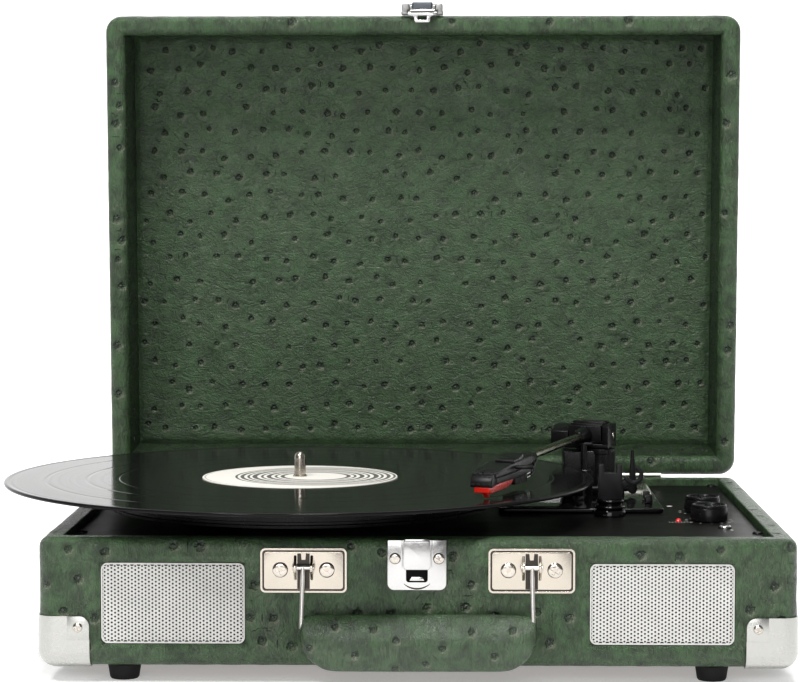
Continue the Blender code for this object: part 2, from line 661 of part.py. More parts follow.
REST_FOOT_TOP = 66
rest = turned("arm_rest", (REST_X, REST_Y, 0),
              [(0, REST_FOOT_TOP), (6.2, REST_FOOT_TOP), (7.2, 65), (6.2, 64), (6.2, 63),
               (7.6, 62), (7.6, 61), (6.8, 60.4), (8, 59.6),
               (8, DECK_Z + GAP), (0, DECK_Z + GAP)], GLOSS, sides=20)
post = block("rest_post", (REST_X - 6.1, REST_Y - 2.5, REST_FOOT_TOP - 2),
             (REST_X + 6.1, REST_Y + 2.5, 83.4))
fuse(rest, post)
cut(rest, block("rest_notch", (REST_X - 3.1, REST_Y - 6, 79.4), (REST_X + 3.1, REST_Y + 6, 90)))
CLIP_X = REST_X + 4
CLIP_Y = REST_Y + 5.1
CLIP_Z = 71
CLIP_PIN_R = 1.1
fuse(rest, drum("clip_pin", (CLIP_X, CLIP_Y, CLIP_Z), CLIP_PIN_R, -3, 4, sides=14, turn=(90, 0, 0)))

clip_axis = frame("clip_axis", (CLIP_X, CLIP_Y, CLIP_Z), CASE)
HOOK_X = 7.5
HOOK_Z = 7.0
hook = arc(HOOK_X, HOOK_Z, 5.0, -160, 62, 16) + arc(HOOK_X, HOOK_Z, 3.0, 62, -160, 14)
clip = plate("rest_clip", [hook], 4, BLACK, clip_axis, turn=(90, 0, 0))
fuse(clip, drum("clip_boss", (0, 0, 0), 2.8, -2, 2, parent=clip_axis, sides=16, turn=(90, 0, 0)),
     block("clip_neck", (1.5, -1.8, -1.4), (6.4, 1.8, 1.4), parent=clip_axis,
           turn=(0, -43, 0)))
cut(clip, drum("clip_bore", (0, 0, 0), CLIP_PIN_R + GAP, -4, 4, parent=clip_axis, sides=14, turn=(90, 0, 0)))

# The cue lever turns a shaft under the lift post; bushes for both stand on the arm base.
CUE_X = 290.6
CUE_Y = ARM_Y - 17
CUE_Z = 63.4
LIFT_RADIUS = 17
LIFT_POST = (ARM_X - LIFT_RADIUS * sin(radians(10)), ARM_Y - LIFT_RADIUS * cos(radians(10)))
SHAFT_R = 1.5
POST_R = 1.6
arm_base = bpy.data.objects["arm_base"]
fuse(arm_base, block("lift_guide", (LIFT_POST[0] - 4, LIFT_POST[1] - 3.6, ARM_PLATE_TOP - 1),
                     (LIFT_POST[0] + 4.4, LIFT_POST[1] + 3.6, 74)),
     block("shaft_bracket", (CUE_X - 7.5, CUE_Y - 3, ARM_PLATE_TOP - 1),
           (CUE_X - 3.4, CUE_Y + 3, 66.4)))
cut(arm_base, drum("post_bore", (*LIFT_POST, 0), POST_R + GAP, CUE_Z, 76, sides=14),
    drum("shaft_bore", (CUE_X, CUE_Y, CUE_Z), SHAFT_R + GAP, -30, 2, sides=14, turn=(0, 90, 0)))

cue_axis = frame("cue_axis", (CUE_X, CUE_Y, CUE_Z), CASE)
lever = drum("cue_lever", (0, 0, 0), SHAFT_R, -27, 1, BLACK, cue_axis, sides=14, turn=(0, 90, 0))
fuse(lever, plate("cue_blade", [arc(0, 0, 2.6, 180, 360, 6) + [(1.1, 21), (-1.1, 21)]], 3.4,
                  parent=cue_axis, turn=(90, 0, 0)))

lift_axis = frame("lift_axis", (ARM_X, ARM_Y, 0), CASE)
LIFT_TOP = 88.4
BAR_HALF = 1.2
bar = (arc(0, 0, LIFT_RADIUS + BAR_HALF, -84, -137, 10) + arc(0, 0, LIFT_RADIUS - BAR_HALF, -137, -84, 10))
platform = plate("lift_platform", [bar], 1.8, BLACK, lift_axis, at=(0, 0, LIFT_TOP - 0.9))
fuse(platform, drum("lift_post", (LIFT_POST[0] - ARM_X, LIFT_POST[1] - ARM_Y, 0), POST_R,
                    CUE_Z + SHAFT_R + GAP, LIFT_TOP - 1, parent=lift_axis, sides=14))


# ---------------------------------------------------------------- tonearm

# The arm's own coordinates: it points along -y from its upright pivot; z is the case's.
swing = frame("swing_axis", (ARM_X, ARM_Y, 0), CASE, (0, 0, -ARM_YAW))
lift = frame("arm_lift_axis", (0, LIFT_Y, LIFT_Z), swing)


def lifted(x, y, z):
    """A point of the arm's coordinates, seen from its lifting axis."""
    return (x, y - LIFT_Y, z - LIFT_Z)


YOKE_LOW = TOWER_TOP + GAP
yoke = block("arm_yoke", (-19.5, -8, YOKE_LOW), (9.2, 9, 86.8), BLACK, swing, soft=0.6)
fuse(yoke, block("yoke_left", (-19.5, -8, 85.5), (-9.4, 9, 93.6), parent=swing, soft=0.6),
     block("yoke_right", (5.8, -8, 85.5), (9.2, 9, 96.0), parent=swing, soft=0.6),
     drum("yoke_shaft", (0, 0, 0), TOWER_BORE_R - 0.4, 70, 85.4, parent=swing, sides=20))
cut(yoke, drum("trunnion_bore", (0, LIFT_Y, LIFT_Z), 1.6, -13, 12, parent=swing, sides=14, turn=(0, 90, 0)))

head = block("arm_head", lifted(-9.0, -8.6, 88.2), lifted(5.4, 14, 97.0), BLACK, lift,
             soft=0.8)
fuse(head, drum("trunnion", (0, 0, 0), 1.2, -12, 8.8, parent=lift, sides=14, turn=(0, 90, 0)),
     block("counterweight", lifted(-7.2, 12, 88.4), lifted(3.6, 22, 96), parent=lift,
           soft=1.2))
TUBE_START = lifted(0, -3, 91.3)
TUBE_END = lifted(0, -126, 89.5)
cut(head, drum("tube_socket", lifted(0, -3, 91.2), TUBE_R + GAP, -1.5, 12, parent=lift, sides=20,
               turn=(90, 0, 0)))
rod("arm_tube", [TUBE_START, TUBE_END], TUBE_R, STEEL, lift, ring=4)

shell_outline = (arc(0, -186, 5.2, 180, 360, 8) + [(7, -150), (5.2, -120), (4.2, -104)]
                 + [(-4.2, -104), (-5.2, -120), (-7, -150)])
headshell = plate("headshell", [shell_outline], 5.6, BLACK, lift, at=(0, -LIFT_Y, 89.4 - LIFT_Z))
fuse(headshell, block("finger_lift", lifted(6, -158, 88.4), lifted(15, -152, 89.8), parent=lift))
cut(headshell, drum("shell_socket", lifted(0, -104, 89.8), TUBE_R + GAP, -3, 24, parent=lift, sides=20,
                    turn=(90, 0, 0)))

CART_TOP = 86.3
cartridge = block("cartridge", lifted(-4.4, -184, 82.9), lifted(4.4, -122, CART_TOP), BLACK, lift,
                  soft=0.5)
fuse(cartridge, block("cartridge_body", lifted(-3.4, -147, 79.4), lifted(3.4, -127, 84),
                      parent=lift, soft=0.4))
for number, height in enumerate((80.6, 82.4)):
    for side, offset in (("left", -1.8), ("right", 1.8)):
        fuse(cartridge, drum(f"cartridge_pin_{number}_{side}", lifted(offset, -128, height), 0.5, -8, 1,
                             parent=lift, sides=8, turn=(90, 0, 0)))

stylus = plate("stylus", [[(-150, 82.5), (-155, 79.3), (-188.5, 79.9), (-190, 80.6),
                           (-190, 82.6)]], 7, RED, lift, at=(0, -LIFT_Y, -LIFT_Z), turn=(90, 0, 90))
fuse(stylus, drum("stylus_tip", lifted(0, -ARM_REACH, 0), 0.35, RECORD_TOP + GAP, 80.2, parent=lift, sides=10,
                  top=1.3))


# ---------------------------------------------------------------- controls and electronics

def knob(name, y):
    """A round knob with a sunk top and a pointer rib, on a shaft through the deck."""
    axis = frame(f"{name}_axis", (KNOB_X, y, DECK_Z), CASE)
    low, high = 0.5, 0.5 + KNOB_H
    body = turned(name, (0, 0, 0), [(0, high - 1.2), (KNOB_R - 1.6, high - 1.2), (KNOB_R - 1.2, high),
                                    (KNOB_R - 0.6, high), (KNOB_R, high - 0.7), (KNOB_R + 0.2, low),
                                    (3, low), (3, -8), (0, -8)], BLACK, axis, sides=24)
    fuse(body, block(f"{name}_rib", (-0.9, -KNOB_R + 1.4, high - 1.6), (0.9, -1, high - 0.1),
                     parent=axis))


knob("volume_knob", KNOB_Y[0])
knob("pitch_knob", KNOB_Y[1])

# The board carries both knobs' potentiometers.
BOARD_Z = 38
board = block("control_board", (296, 84, BOARD_Z), (341, 166, BOARD_Z + 1.6), BOARD)
for number, y in enumerate(KNOB_Y):
    fuse(board, drum(f"potentiometer_{number}", (KNOB_X, y, 0), 7.8, BOARD_Z + 1, 47.5, sides=20))
for number, y in enumerate((92, 108, 124, 140)):
    fuse(board, drum(f"capacitor_{number}", (305, y, 0), 4, BOARD_Z + 1, 50, sides=12))

turned("power_led", (*LED_AT, DECK_Z),
       [(0, 1.2), (0.9, 0.9), (1.4, 0.2), (1.5, -7), (0, -7)], LED_RED, sides=14)
turned("headphone_jack", (*JACK_AT, DECK_Z), [(1.75, 1.7), (3.2, 1.7), (3.9, 1),
                                               (3.9, GAP), (3, GAP), (3, -12), (1.75, -12)],
       CHROME, sides=20)

for name, y in SWITCH_Y.items():
    axis = frame(f"{name}_axis", (SWITCH_X, y, ARM_PLATE_TOP), CASE)
    block(name, (-1.8, -2.4, GAP), (1.8, 2.4, 4.2), BLACK, axis, soft=0.5)

rear_face = CASE_D - 1.6
jack_panel = block("rear_jack_panel", (JACK_PANEL_X - 21.6, rear_face - 3, JACK_PANEL_Z - 8.6),
                   (JACK_PANEL_X + 21.6, rear_face, JACK_PANEL_Z + 8.6), BLACK)
for number, offset in enumerate((-13, -1)):
    fuse(jack_panel, drum(f"phono_socket_{number}", (JACK_PANEL_X + offset, rear_face, JACK_PANEL_Z), 4.1, -7,
                          2, sides=20, turn=(90, 0, 0)))
    cut(jack_panel, drum(f"phono_bore_{number}", (JACK_PANEL_X + offset, rear_face, JACK_PANEL_Z), 1.6, -9,
                         -0.1, sides=12, turn=(90, 0, 0)))
cut(jack_panel, drum("power_bore", (JACK_PANEL_X + 13, rear_face, JACK_PANEL_Z), 3.1, -4, 12, sides=20,
                     turn=(90, 0, 0)))
turned("power_inlet", (JACK_PANEL_X + 13, rear_face, JACK_PANEL_Z),
       [(0, 0), (0.9, 0), (0.9, -8), (2.1, -8), (2.1, 0), (2.75, 0),
        (2.75, -11), (0, -11)], STEEL, sides=18, turn=(-90, 0, 0))
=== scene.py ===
"""Looks of the suitcase record player: coverings, metal, plastics, floor, lights and camera.

Sizes are millimetres in the case's coordinates: x from its left side, y from its front and z from
its underside. place() turns them into metres of the shared frame.
"""
import json
from math import cos, pi, radians, sin

import bmesh
import bpy
import numpy as np
from mathutils import Matrix, Vector


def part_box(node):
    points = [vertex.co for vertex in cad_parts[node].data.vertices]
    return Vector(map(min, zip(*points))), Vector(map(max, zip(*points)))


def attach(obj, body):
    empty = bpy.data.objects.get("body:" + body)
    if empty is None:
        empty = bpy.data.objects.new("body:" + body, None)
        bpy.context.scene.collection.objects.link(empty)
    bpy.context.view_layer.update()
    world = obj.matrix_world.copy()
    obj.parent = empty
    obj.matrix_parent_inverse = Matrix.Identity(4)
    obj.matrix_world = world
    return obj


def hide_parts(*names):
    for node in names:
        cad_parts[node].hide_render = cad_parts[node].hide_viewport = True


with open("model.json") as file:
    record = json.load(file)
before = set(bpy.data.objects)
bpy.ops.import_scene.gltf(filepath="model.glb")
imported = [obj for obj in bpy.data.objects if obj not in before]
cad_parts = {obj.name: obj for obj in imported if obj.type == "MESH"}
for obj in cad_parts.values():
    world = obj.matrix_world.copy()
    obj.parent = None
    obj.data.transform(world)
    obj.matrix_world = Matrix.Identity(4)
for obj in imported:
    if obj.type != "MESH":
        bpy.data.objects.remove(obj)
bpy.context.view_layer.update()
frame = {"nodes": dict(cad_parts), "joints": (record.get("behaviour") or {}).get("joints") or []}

MM = 0.001
SEED = 11
CASE = Matrix.Translation(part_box("base_shell")[0]) @ Matrix.Scale(MM, 4)
NODES = frame["nodes"]


def local_box(node):
    """A node's two corners in the case's millimetres."""
    inverse = CASE.inverted()
    return [inverse @ Vector(corner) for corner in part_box(node)]


def middle(node):
    """The centre of a node's box in the case's millimetres."""
    low, high = local_box(node)
    return (low + high) / 2


def axis_point(joint):
    """The place of a joint's axis in the case's millimetres."""
    for entry in frame["joints"]:
        if entry["name"] == joint:
            return CASE.inverted() @ Vector(entry["pos_m"])
    raise KeyError(joint)


def turn(degrees, axis):
    return Matrix.Rotation(radians(degrees), 4, axis)


def shift(x=0.0, y=0.0, z=0.0):
    return Matrix.Translation((x, y, z))


# Case
CASE_W, CASE_D, BASE_H = local_box("base_shell")[1]
WALL = 10.8
EDGE_R = 7.5
TOP_EDGE_R = 4.5
DECK_Z = local_box("deck_plate")[1].z
CAP = 24.2
CAP_GAP = 0.3
CAP_T = 0.6

# Lid, in its closed position measured from the hinge axis
LID_OPEN = 86.7
LID = CASE @ shift(0, axis_point("lid_hinge").y, axis_point("lid_hinge").z) @ turn(-LID_OPEN, "X")
LID_FRONT = -259.8
LID_REAR = 0.2
LID_RIM = 0.4
LID_TOP = 48.7
LID_EDGE_R = 4.05
LID_CORNER_R = 9.0
LINING_Z = 44.0

# Axes of the moving groups
SPIN = CASE @ shift(axis_point("platter_spin").x, axis_point("platter_spin").y)
ARM_AXIS = axis_point("tonearm_swing")
ARM_YAW = 19.0
ARM = CASE @ shift(ARM_AXIS.x, ARM_AXIS.y) @ turn(-ARM_YAW, "Z")
SHELL_RIGHT = 1.6  # of the arm's middle line, for the shell, the cartridge and the stylus
GRIP_AXIS = axis_point("handle_swing")
HASP = CASE @ Matrix.Translation(axis_point("hasp_hinge"))

XZ = turn(90, "X")
YZ = Matrix(((0, 0, 1, 0), (1, 0, 0, 0), (0, 1, 0, 0), (0, 0, 0, 1)))


# ---------------------------------------------------------------- shapes

def mesh(verts, faces):
    data = bpy.data.meshes.new("shape")
    data.from_pydata([tuple(v) for v in verts], [], [tuple(f) for f in faces])
    return data


def to_bmesh(*shapes):
    bm = bmesh.new()
    for shape in shapes:
        bm.from_mesh(shape)
    return bm


def from_bmesh(bm, outwards=True):
    """The finished mesh; its faces are turned outwards unless that is already done."""
    if outwards:
        bmesh.ops.recalc_face_normals(bm, faces=bm.faces)
    data = bpy.data.meshes.new("shape")
    bm.to_mesh(data)
    bm.free()
    return data


def solid(verts, faces):
    return from_bmesh(to_bmesh(mesh(verts, faces)))


def linked(name, data):
    """A new object in the scene."""
    obj = bpy.data.objects.new(name, data)
    bpy.context.scene.collection.objects.link(obj)
    return obj


def evaluated(obj):
    """The object's mesh with its modifiers applied."""
    graph = bpy.context.evaluated_depsgraph_get()
    return bpy.data.meshes.new_from_object(obj.evaluated_get(graph))


def moved(data, *matrices):
    for matrix in matrices:
        data.transform(matrix)
    return data


def merge(*shapes):
    """Several closed shapes as one mesh."""
    return from_bmesh(to_bmesh(*shapes), False)


def soften(bm, width, segments=2, angle=40):
    """Rounds the edges that are sharper than an angle."""
    edges = [e for e in bm.edges if len(e.link_faces) == 2 and e.calc_face_angle(0) > radians(angle)]
    bmesh.ops.bevel(
        bm, geom=edges, offset=width, segments=segments, profile=0.5, affect="EDGES", clamp_overlap=True)


def cube(low, high):
    bm = bmesh.new()
    bmesh.ops.create_cube(bm, size=1)
    size = [h - l for l, h in zip(low, high)]
    middle = [(h + l) / 2 for l, h in zip(low, high)]
    bmesh.ops.transform(bm, matrix=shift(*middle) @ Matrix.Diagonal((*size, 1)), verts=bm.verts)
    return bm


def block(low, high, soft=0.0, segments=3):
    """A box between two corners."""
    bm = cube(low, high)
    if soft:
        soften(bm, soft, segments)
    return from_bmesh(bm)


def arc(cx, cy, radius, start, end, steps=8):
    """Points along an arc, in degrees."""
    span = [radians(start + (end - start) * i / steps) for i in range(steps + 1)]
    return [(cx + radius * cos(a), cy + radius * sin(a)) for a in span]


def flipped(points):
    """The mirror image of points across x = 0, in the order that closes an outline."""
    return [(-x, y) for x, y in reversed(points)]


def rounded(x0, x1, y0, y1, radius, steps=6):
    """A rectangle's outline with round corners."""
    corners = (
        (x1 - radius, y0 + radius), (x1 - radius, y1 - radius), (x0 + radius, y1 - radius),
        (x0 + radius, y0 + radius))
    outline = []
    for quarter, (x, y) in enumerate(corners):
        outline += arc(x, y, radius, 90 * quarter - 90, 90 * quarter, steps)
    return outline


def slab(outlines, low, high, soft=0.0, segments=2):
    """A flat plate of closed outlines in the XY plane, from z low to z high."""
    curve = bpy.data.curves.new("outline", "CURVE")
    curve.dimensions = "2D"
    curve.fill_mode = "BOTH"
    curve.extrude = (high - low) / 2
    for outline in outlines:
        spline = curve.splines.new("POLY")
        spline.points.add(len(outline) - 1)
        for point, (x, y) in zip(spline.points, outline):
            point.co = (x, y, 0, 1)
        spline.use_cyclic_u = True
    carrier = linked("outline", curve)
    bm = to_bmesh(evaluated(carrier))
    bpy.data.objects.remove(carrier)
    bmesh.ops.remove_doubles(bm, verts=bm.verts, dist=0.002)
    bmesh.ops.translate(bm, vec=(0, 0, (low + high) / 2), verts=bm.verts)
    bmesh.ops.recalc_face_normals(bm, faces=bm.faces)
    bmesh.ops.dissolve_limit(bm, angle_limit=radians(1), verts=bm.verts, edges=bm.edges)
    if soft:
        soften(bm, soft, segments, 50)
    return from_bmesh(bm)


def fill(points, *heights_and_soft):
    """A plate of one outline."""
    return slab([points], *heights_and_soft)


def lathe(profile, sides=64):
    """A profile of (radius, z) turned round z; it is closed if neither end lies on the axis."""
    closed = min(profile[0][0], profile[-1][0]) > 0
    verts, rows = [], []
    for r, z in profile:
        if r <= 0:
            rows.append([len(verts)] * sides)
            verts.append((0, 0, z))
        else:
            rows.append(range(len(verts), len(verts) + sides))
            verts += [(r * cos(2 * pi * k / sides), r * sin(2 * pi * k / sides), z) for k in range(sides)]
    pairs = list(zip(rows, rows[1:])) + ([(rows[-1], rows[0])] if closed else [])
    faces = []
    for a, b in pairs:
        for k in range(sides):
            n = (k + 1) % sides
            corner = [a[k], a[n], b[n], b[k]]
            corner = [v for i, v in enumerate(corner) if v != corner[i - 1]]
            if len(corner) > 2:
                faces.append(corner)
    return solid(verts, faces)


def drum(radius, low, high, soft=0.3, sides=48):
    """A cylinder along z with rounded rims."""
    return lathe(
        [(0, high)] + arc(
            radius - soft, high - soft, soft, 90, 0, 4
        ) + arc(radius - soft, low + soft, soft, 0, -90, 4) + [(0, low)],
        sides)


def pin(radius, low, high, soft, sides):
    """A drum along x."""
    return moved(drum(radius, low, high, soft, sides), turn(90, "Y"))


def tunnel(count, rows):
    """The faces of a skin over rows of count points each, with both ends closed."""
    faces = [
        (i * count + k, i * count + (k + 1) % count, (i + 1) * count + (k + 1) % count, (i + 1) * count + k)
        for i in range(rows - 1) for k in range(count)]
    return faces + [tuple(range(count))[::-1], tuple(range((rows - 1) * count, rows * count))]


def tube(points, radius, sides=20):
    """A round bar through points; radius is one number or one for each point."""
    path = [Vector(p) for p in points]
    radii = radius if isinstance(radius, (list, tuple)) else [radius] * len(path)
    verts = []
    side = Vector((1, 0, 0))
    for i, point in enumerate(path):
        ahead = (path[min(i + 1, len(path) - 1)] - path[max(i - 1, 0)]).normalized()
        if abs(ahead.dot(side)) > 0.95:
            side = Vector((0, 0, 1))
        side = (side - ahead * side.dot(ahead)).normalized()
        other = ahead.cross(side)
        for k in range(sides):
            a = 2 * pi * k / sides
            verts.append(point + radii[i] * (side * cos(a) + other * sin(a)))
    return solid(verts, tunnel(sides, len(path)))


def carve(data, tools, operation="DIFFERENCE"):
    """A Boolean of one shape with others, applied."""
    target = linked("target", data)
    helpers = [linked("tool", tool) for tool in tools]
    for helper in helpers:
        mod = target.modifiers.new("Boolean", "BOOLEAN")
        mod.operation = operation
        mod.solver = "EXACT"
        mod.object = helper
    result = evaluated(target)
    for extra in [target, *helpers]:
        bpy.data.objects.remove(extra)
    return result


def place(name, data, look, body, where=CASE, hides=(), crease=35):
    """Puts a shape into the shared frame as a piece of a body."""
    data.transform(where)
    data.name = name
    slots = [face.material_index for face in data.polygons]
    data.materials.clear()
    for material in look if isinstance(look, list) else [look]:
        data.materials.append(material)
    data.polygons.foreach_set("material_index", slots)
    data.shade_smooth()
    data.set_sharp_from_angle(angle=radians(crease))
    obj = linked(name, data)
    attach(obj, body)
    if hides:
        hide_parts(*hides)
    return obj


# ---------------------------------------------------------------- materials

class Look:
    """A Principled material and short ways to add nodes to it."""

    def __init__(self, name, colour, roughness, metallic=0.0, **sockets):
        self.material = bpy.data.materials.new(name)
        self.material.use_nodes = True
        self.tree = self.material.node_tree
        self.shader = self.tree.nodes["Principled BSDF"]
        self.fill(self.shader, {"Base Color": (*colour, 1), "Roughness": roughness, "Metallic": metallic})
        self.fill(self.shader, {key.replace("_", " "): value for key, value in sockets.items()})
        self.place = self.node("TexCoord").outputs["Object"]

    def fill(self, node, inputs):
        for key, value in inputs.items():
            if isinstance(value, bpy.types.NodeSocket):
                self.tree.links.new(value, node.inputs[key])
            else:
                node.inputs[key].default_value = value

    def node(self, kind, inputs=None, **settings):
        node = self.tree.nodes.new("ShaderNode" + kind)
        for key, value in settings.items():
            setattr(node, key, value)
        self.fill(node, inputs or {})
        return node

    def maths(self, operation, a, b=0.0, c=0.0):
        return self.node("Math", {0: a, 1: b, 2: c}, operation=operation).outputs[0]

    def times(self, a, b):
        return self.maths("MULTIPLY", a, b)

    def scaled(self, a, factor, rest):
        """a times a factor, plus the rest."""
        return self.maths("MULTIPLY_ADD", a, factor, rest)

    def apart(self, a, b):
        return self.maths("ABSOLUTE", self.maths("SUBTRACT", a, b))

    def noise(self, scale, detail=3.0, roughness=0.55, distortion=0.0, where=None):
        return self.node(
            "TexNoise",
            {
                "Vector": where or self.place, "Scale": scale, "Detail": detail, "Roughness": roughness,
                "Distortion": distortion}).outputs["Fac"]

    def vectors(self, operation, *inputs):
        return self.node("VectorMath", dict(enumerate(inputs)), operation=operation).outputs

    def mapped(self, scale, where=None, turned=(0, 0, 0)):
        inputs = {"Vector": where or self.place, "Rotation": turned, "Scale": scale}
        return self.node("Mapping", inputs).outputs["Vector"]

    def remap(self, value, low, high, to_low=0.0, to_high=1.0, smooth=False):
        kind = "SMOOTHSTEP" if smooth else "LINEAR"
        node = self.node(
            "MapRange",
            {"Value": value, "From Min": low, "From Max": high, "To Min": to_low, "To Max": to_high},
            interpolation_type=kind)
        return node.outputs["Result"]

    def mix(self, share, a, b):
        node = self.node("Mix", {0: share}, data_type="RGBA")
        for slot, colour in ((6, a), (7, b)):
            self.fill(node, {slot: colour if isinstance(colour, bpy.types.NodeSocket) else (*colour, 1)})
        return node.outputs[2]

    def bump(self, height, depth_mm):
        return self.node("Bump", {"Height": height, "Distance": depth_mm * MM, "Strength": 1.0}).outputs[
            "Normal"]

    def out(self, **sockets):
        self.fill(self.shader, {key.replace("_", " "): value for key, value in sockets.items()})
        return self.material


def leather(name, tone=1.0, grey=0.5, hair=(1, 1, 0.3), dark=0.014, shine=0.42, relief=1.0):
    """Embossed covering: green with rose-grey strokes like brushed hair, partly two-tone colour and partly a
    painted sheen; the folds and cracks are painted darker, a painted shade. Each quill is a dimple with a nub
    in it: the dimple is painted dark, a painted shade that is deepest on the side towards the light; the lip
    on the side away from the light and the nub are painted paler, painted highlights; and round the quill
    lies a soft painted shadow on the side towards the light and a painted highlight on the other side."""
    def toned(*colour):
        return [c * tone for c in colour]

    look = Look(name, (0.04, 0.08, 0.045), 0.34, Specular_IOR_Level=shine)
    noise, remap, mix, times, scaled = look.noise, look.remap, look.mix, look.times, look.scaled
    wander = look.node("TexNoise", {"Vector": look.place, "Scale": 38.0, "Detail": 2.0}).outputs["Color"]
    bent = look.vectors("MULTIPLY_ADD", wander, (0.012, 0.012, 0.012), look.place)[0]
    along_hair = look.mapped(hair, bent)
    cross_hair = look.mapped(hair, bent, (0.0, 0.9, 0.5))
    hairs = look.maths(
        "MAXIMUM", noise(1500.0, 4.0, 0.72, 0.3, along_hair), noise(1050.0, 4.0, 0.72, 0.3, cross_hair))
    folds = noise(300.0, 3.0, 0.6, 0.8, cross_hair)
    patches = noise(42.0, 3.0, 0.6, 0.6)
    cells = look.node("TexVoronoi", {"Vector": along_hair, "Scale": 230.0}, feature="DISTANCE_TO_EDGE")
    cracks = remap(cells.outputs["Distance"], 0.0, 0.07)

    quill = look.node("SeparateXYZ", {0: look.node("Attribute", attribute_name="quill").outputs["Vector"]})
    across, along, inside = (quill.outputs[i] for i in range(3))
    reach = look.maths("SQRT", scaled(across, across, times(along, along)))
    reach = scaled(look.maths("SUBTRACT", noise(520.0, 2.0, 0.6), 0.5), 3.0, reach)
    from_light = scaled(across, -0.55, times(along, 0.83))
    pit = times(remap(reach, 2.1, 0.9, smooth=True), inside)
    # The dimple's painted shade, strongest on the side towards the light.
    shaded = times(pit, remap(from_light, -1.5, 0.7, 0.25, 1.0))
    # The pale lip is a painted highlight on the side away from the light.
    band = remap(look.apart(reach, 1.8), 0.8, 0.15, smooth=True)
    lip = times(times(band, remap(from_light, -0.4, -1.5)), inside)
    # The nub is painted a little paler, a painted highlight.
    nub_reach = look.maths("ADD", look.apart(across, -0.2), look.apart(along, 0.15))
    nub = times(remap(nub_reach, 1.1, 0.3, smooth=True), inside)
    # Where the soft painted shadow (towards the light) and the painted highlight (away from it) fall round
    # each quill.
    round_quill = times(remap(reach, 4.8, 2.2, smooth=True), inside)

    # The first colour is the strokes' tone and also a painted highlight colour; the second, deep, is a
    # painted shade colour.
    rosy_and_highlight, deep = toned(0.082, 0.106, 0.062), toned(0.007, 0.015, 0.006)
    mottle = remap(noise(105.0, 4.0, 0.62, 0.8), 0.34, 0.66, smooth=True)
    green = mix(mottle, toned(dark, dark * 2.3, dark * 0.85), toned(0.036, 0.086, 0.030))
    # Where the hair strokes take the rose-grey tone: partly two-tone colour, partly a painted sheen.
    share = times(remap(hairs, 0.50, 0.72), remap(patches, 0.32, 0.68, grey, 1.15, True))
    # Painted shade: the troughs of the folds are painted darker, towards the dark shade colour.
    colour = mix(remap(folds, 0.46, 0.32, 0.0, 0.6), green, deep)
    # In order: the hair strokes, partly two-tone colour and partly painted sheen; painted shade in the
    # cracks; the painted shadow and painted highlight round each quill; the dimple's painted shade; the lip's
    # painted highlight; the nub's painted highlight.
    for amount, over in (
            (share, rosy_and_highlight), (remap(cracks, 0.6, 0.0, 0.0, 0.35), deep),
            (times(times(round_quill, remap(from_light, -0.5, 3.0)), 0.55), deep),
            (times(times(round_quill, remap(from_light, 0.5, -3.0)), 0.4), rosy_and_highlight),
            (times(shaded, 0.88), toned(0.006, 0.010, 0.007)), (times(lip, 0.75), toned(0.13, 0.14, 0.10)),
            (times(nub, 0.35), toned(0.10, 0.11, 0.09))):
        colour = mix(amount, colour, over)
    height = scaled(hairs, 0.75, times(folds, 0.8))
    for part, weight in ((cracks, 0.08), (pit, -1.1), (nub, 1.0)):
        height = scaled(part, weight, height)
    return look.out(
        Base_Color=colour, Normal=look.bump(height, relief), Roughness=remap(hairs, 0.42, 0.66, 0.44, 0.15))


def plastic(name, colour, roughness, grain=0.02, scale=2200.0, spread=0.06, **sockets):
    """Moulded plastic with a fine spark-eroded grain and a few rub marks."""
    look = Look(name, colour, roughness, **sockets)
    fine = look.noise(scale, 2.0, 0.6)
    marks = look.noise(90.0, 5.0, 0.65, 1.0)
    low, high = (0.94, 1.06) if max(colour) > 0.4 else (0.8, 1.35)
    shade = look.mix(look.remap(marks, 0.3, 0.7), [c * low for c in colour], [c * high for c in colour])
    rough = look.maths(
        "ADD", look.remap(marks, 0.3, 0.7, roughness - spread, roughness + spread),
        look.remap(fine, 0.3, 0.7, -0.02, 0.02))
    return look.out(Base_Color=shade, Roughness=rough, Normal=look.bump(fine, grain))


def metal(name, colour, roughness, brush=(1, 1, 1), scale=900.0, grain=0.012, spread=0.05):
    """Plated or brushed metal with fine scratches and a soft haze."""
    look = Look(name, colour, roughness, 1.0)
    lines = look.noise(scale, 4.0, 0.7, where=look.mapped(brush))
    haze = look.noise(70.0, 4.0, 0.6, 0.6)
    shade = look.mix(look.remap(haze, 0.3, 0.7), [c * 0.93 for c in colour], colour)
    rough = look.maths(
        "ADD", look.remap(haze, 0.3, 0.7, roughness - spread, roughness + spread),
        look.remap(lines, 0.3, 0.7, -0.03, 0.03))
    return look.out(Base_Color=shade, Roughness=rough, Normal=look.bump(lines, grain))


def from_spindle(look, dx=0.0):
    """Distance from the spindle's axis, moved sideways by dx, in millimetres."""
    centre = SPIN.translation
    flat = look.vectors("SUBTRACT", look.place, (centre.x + dx * MM, centre.y, 0))[0]
    return look.vectors("LENGTH", look.vectors("MULTIPLY", flat, (1 / MM, 1 / MM, 0))[0])["Value"]


GROOVE_MM = 0.9


def vinyl():
    """Pressed grooves: rings of slightly different sheen round the spindle."""
    look = Look("vinyl_grooves", (0.004, 0.004, 0.004), 0.1, Specular_IOR_Level=0.07)
    radius = from_spindle(look)
    bands, fine = (
        look.node(
            "TexNoise", {"W": radius, "Scale": scale, "Detail": detail, "Roughness": rough},
            noise_dimensions="1D").outputs["Fac"] for scale,
        detail, rough in ((0.42, 4.0, 0.8), (3.0, 2.0, 0.5)))
    groove = look.maths("SINE", look.times(radius, 2 * pi / GROOVE_MM))
    dust = look.remap(look.noise(1400.0, 2.0, 0.5), 0.74, 0.8)
    # The bands are also painted a touch lighter and darker, a painted sheen; the dust is real.
    shade = look.mix(dust, look.mix(bands, [0.003] * 3, [0.009] * 3), [0.03] * 3)
    return look.out(
        Roughness=look.remap(bands, 0.3, 0.7, 0.06, 0.15), Base_Color=shade,
        Normal=look.bump(look.scaled(fine, 1.6, groove), 0.0016))


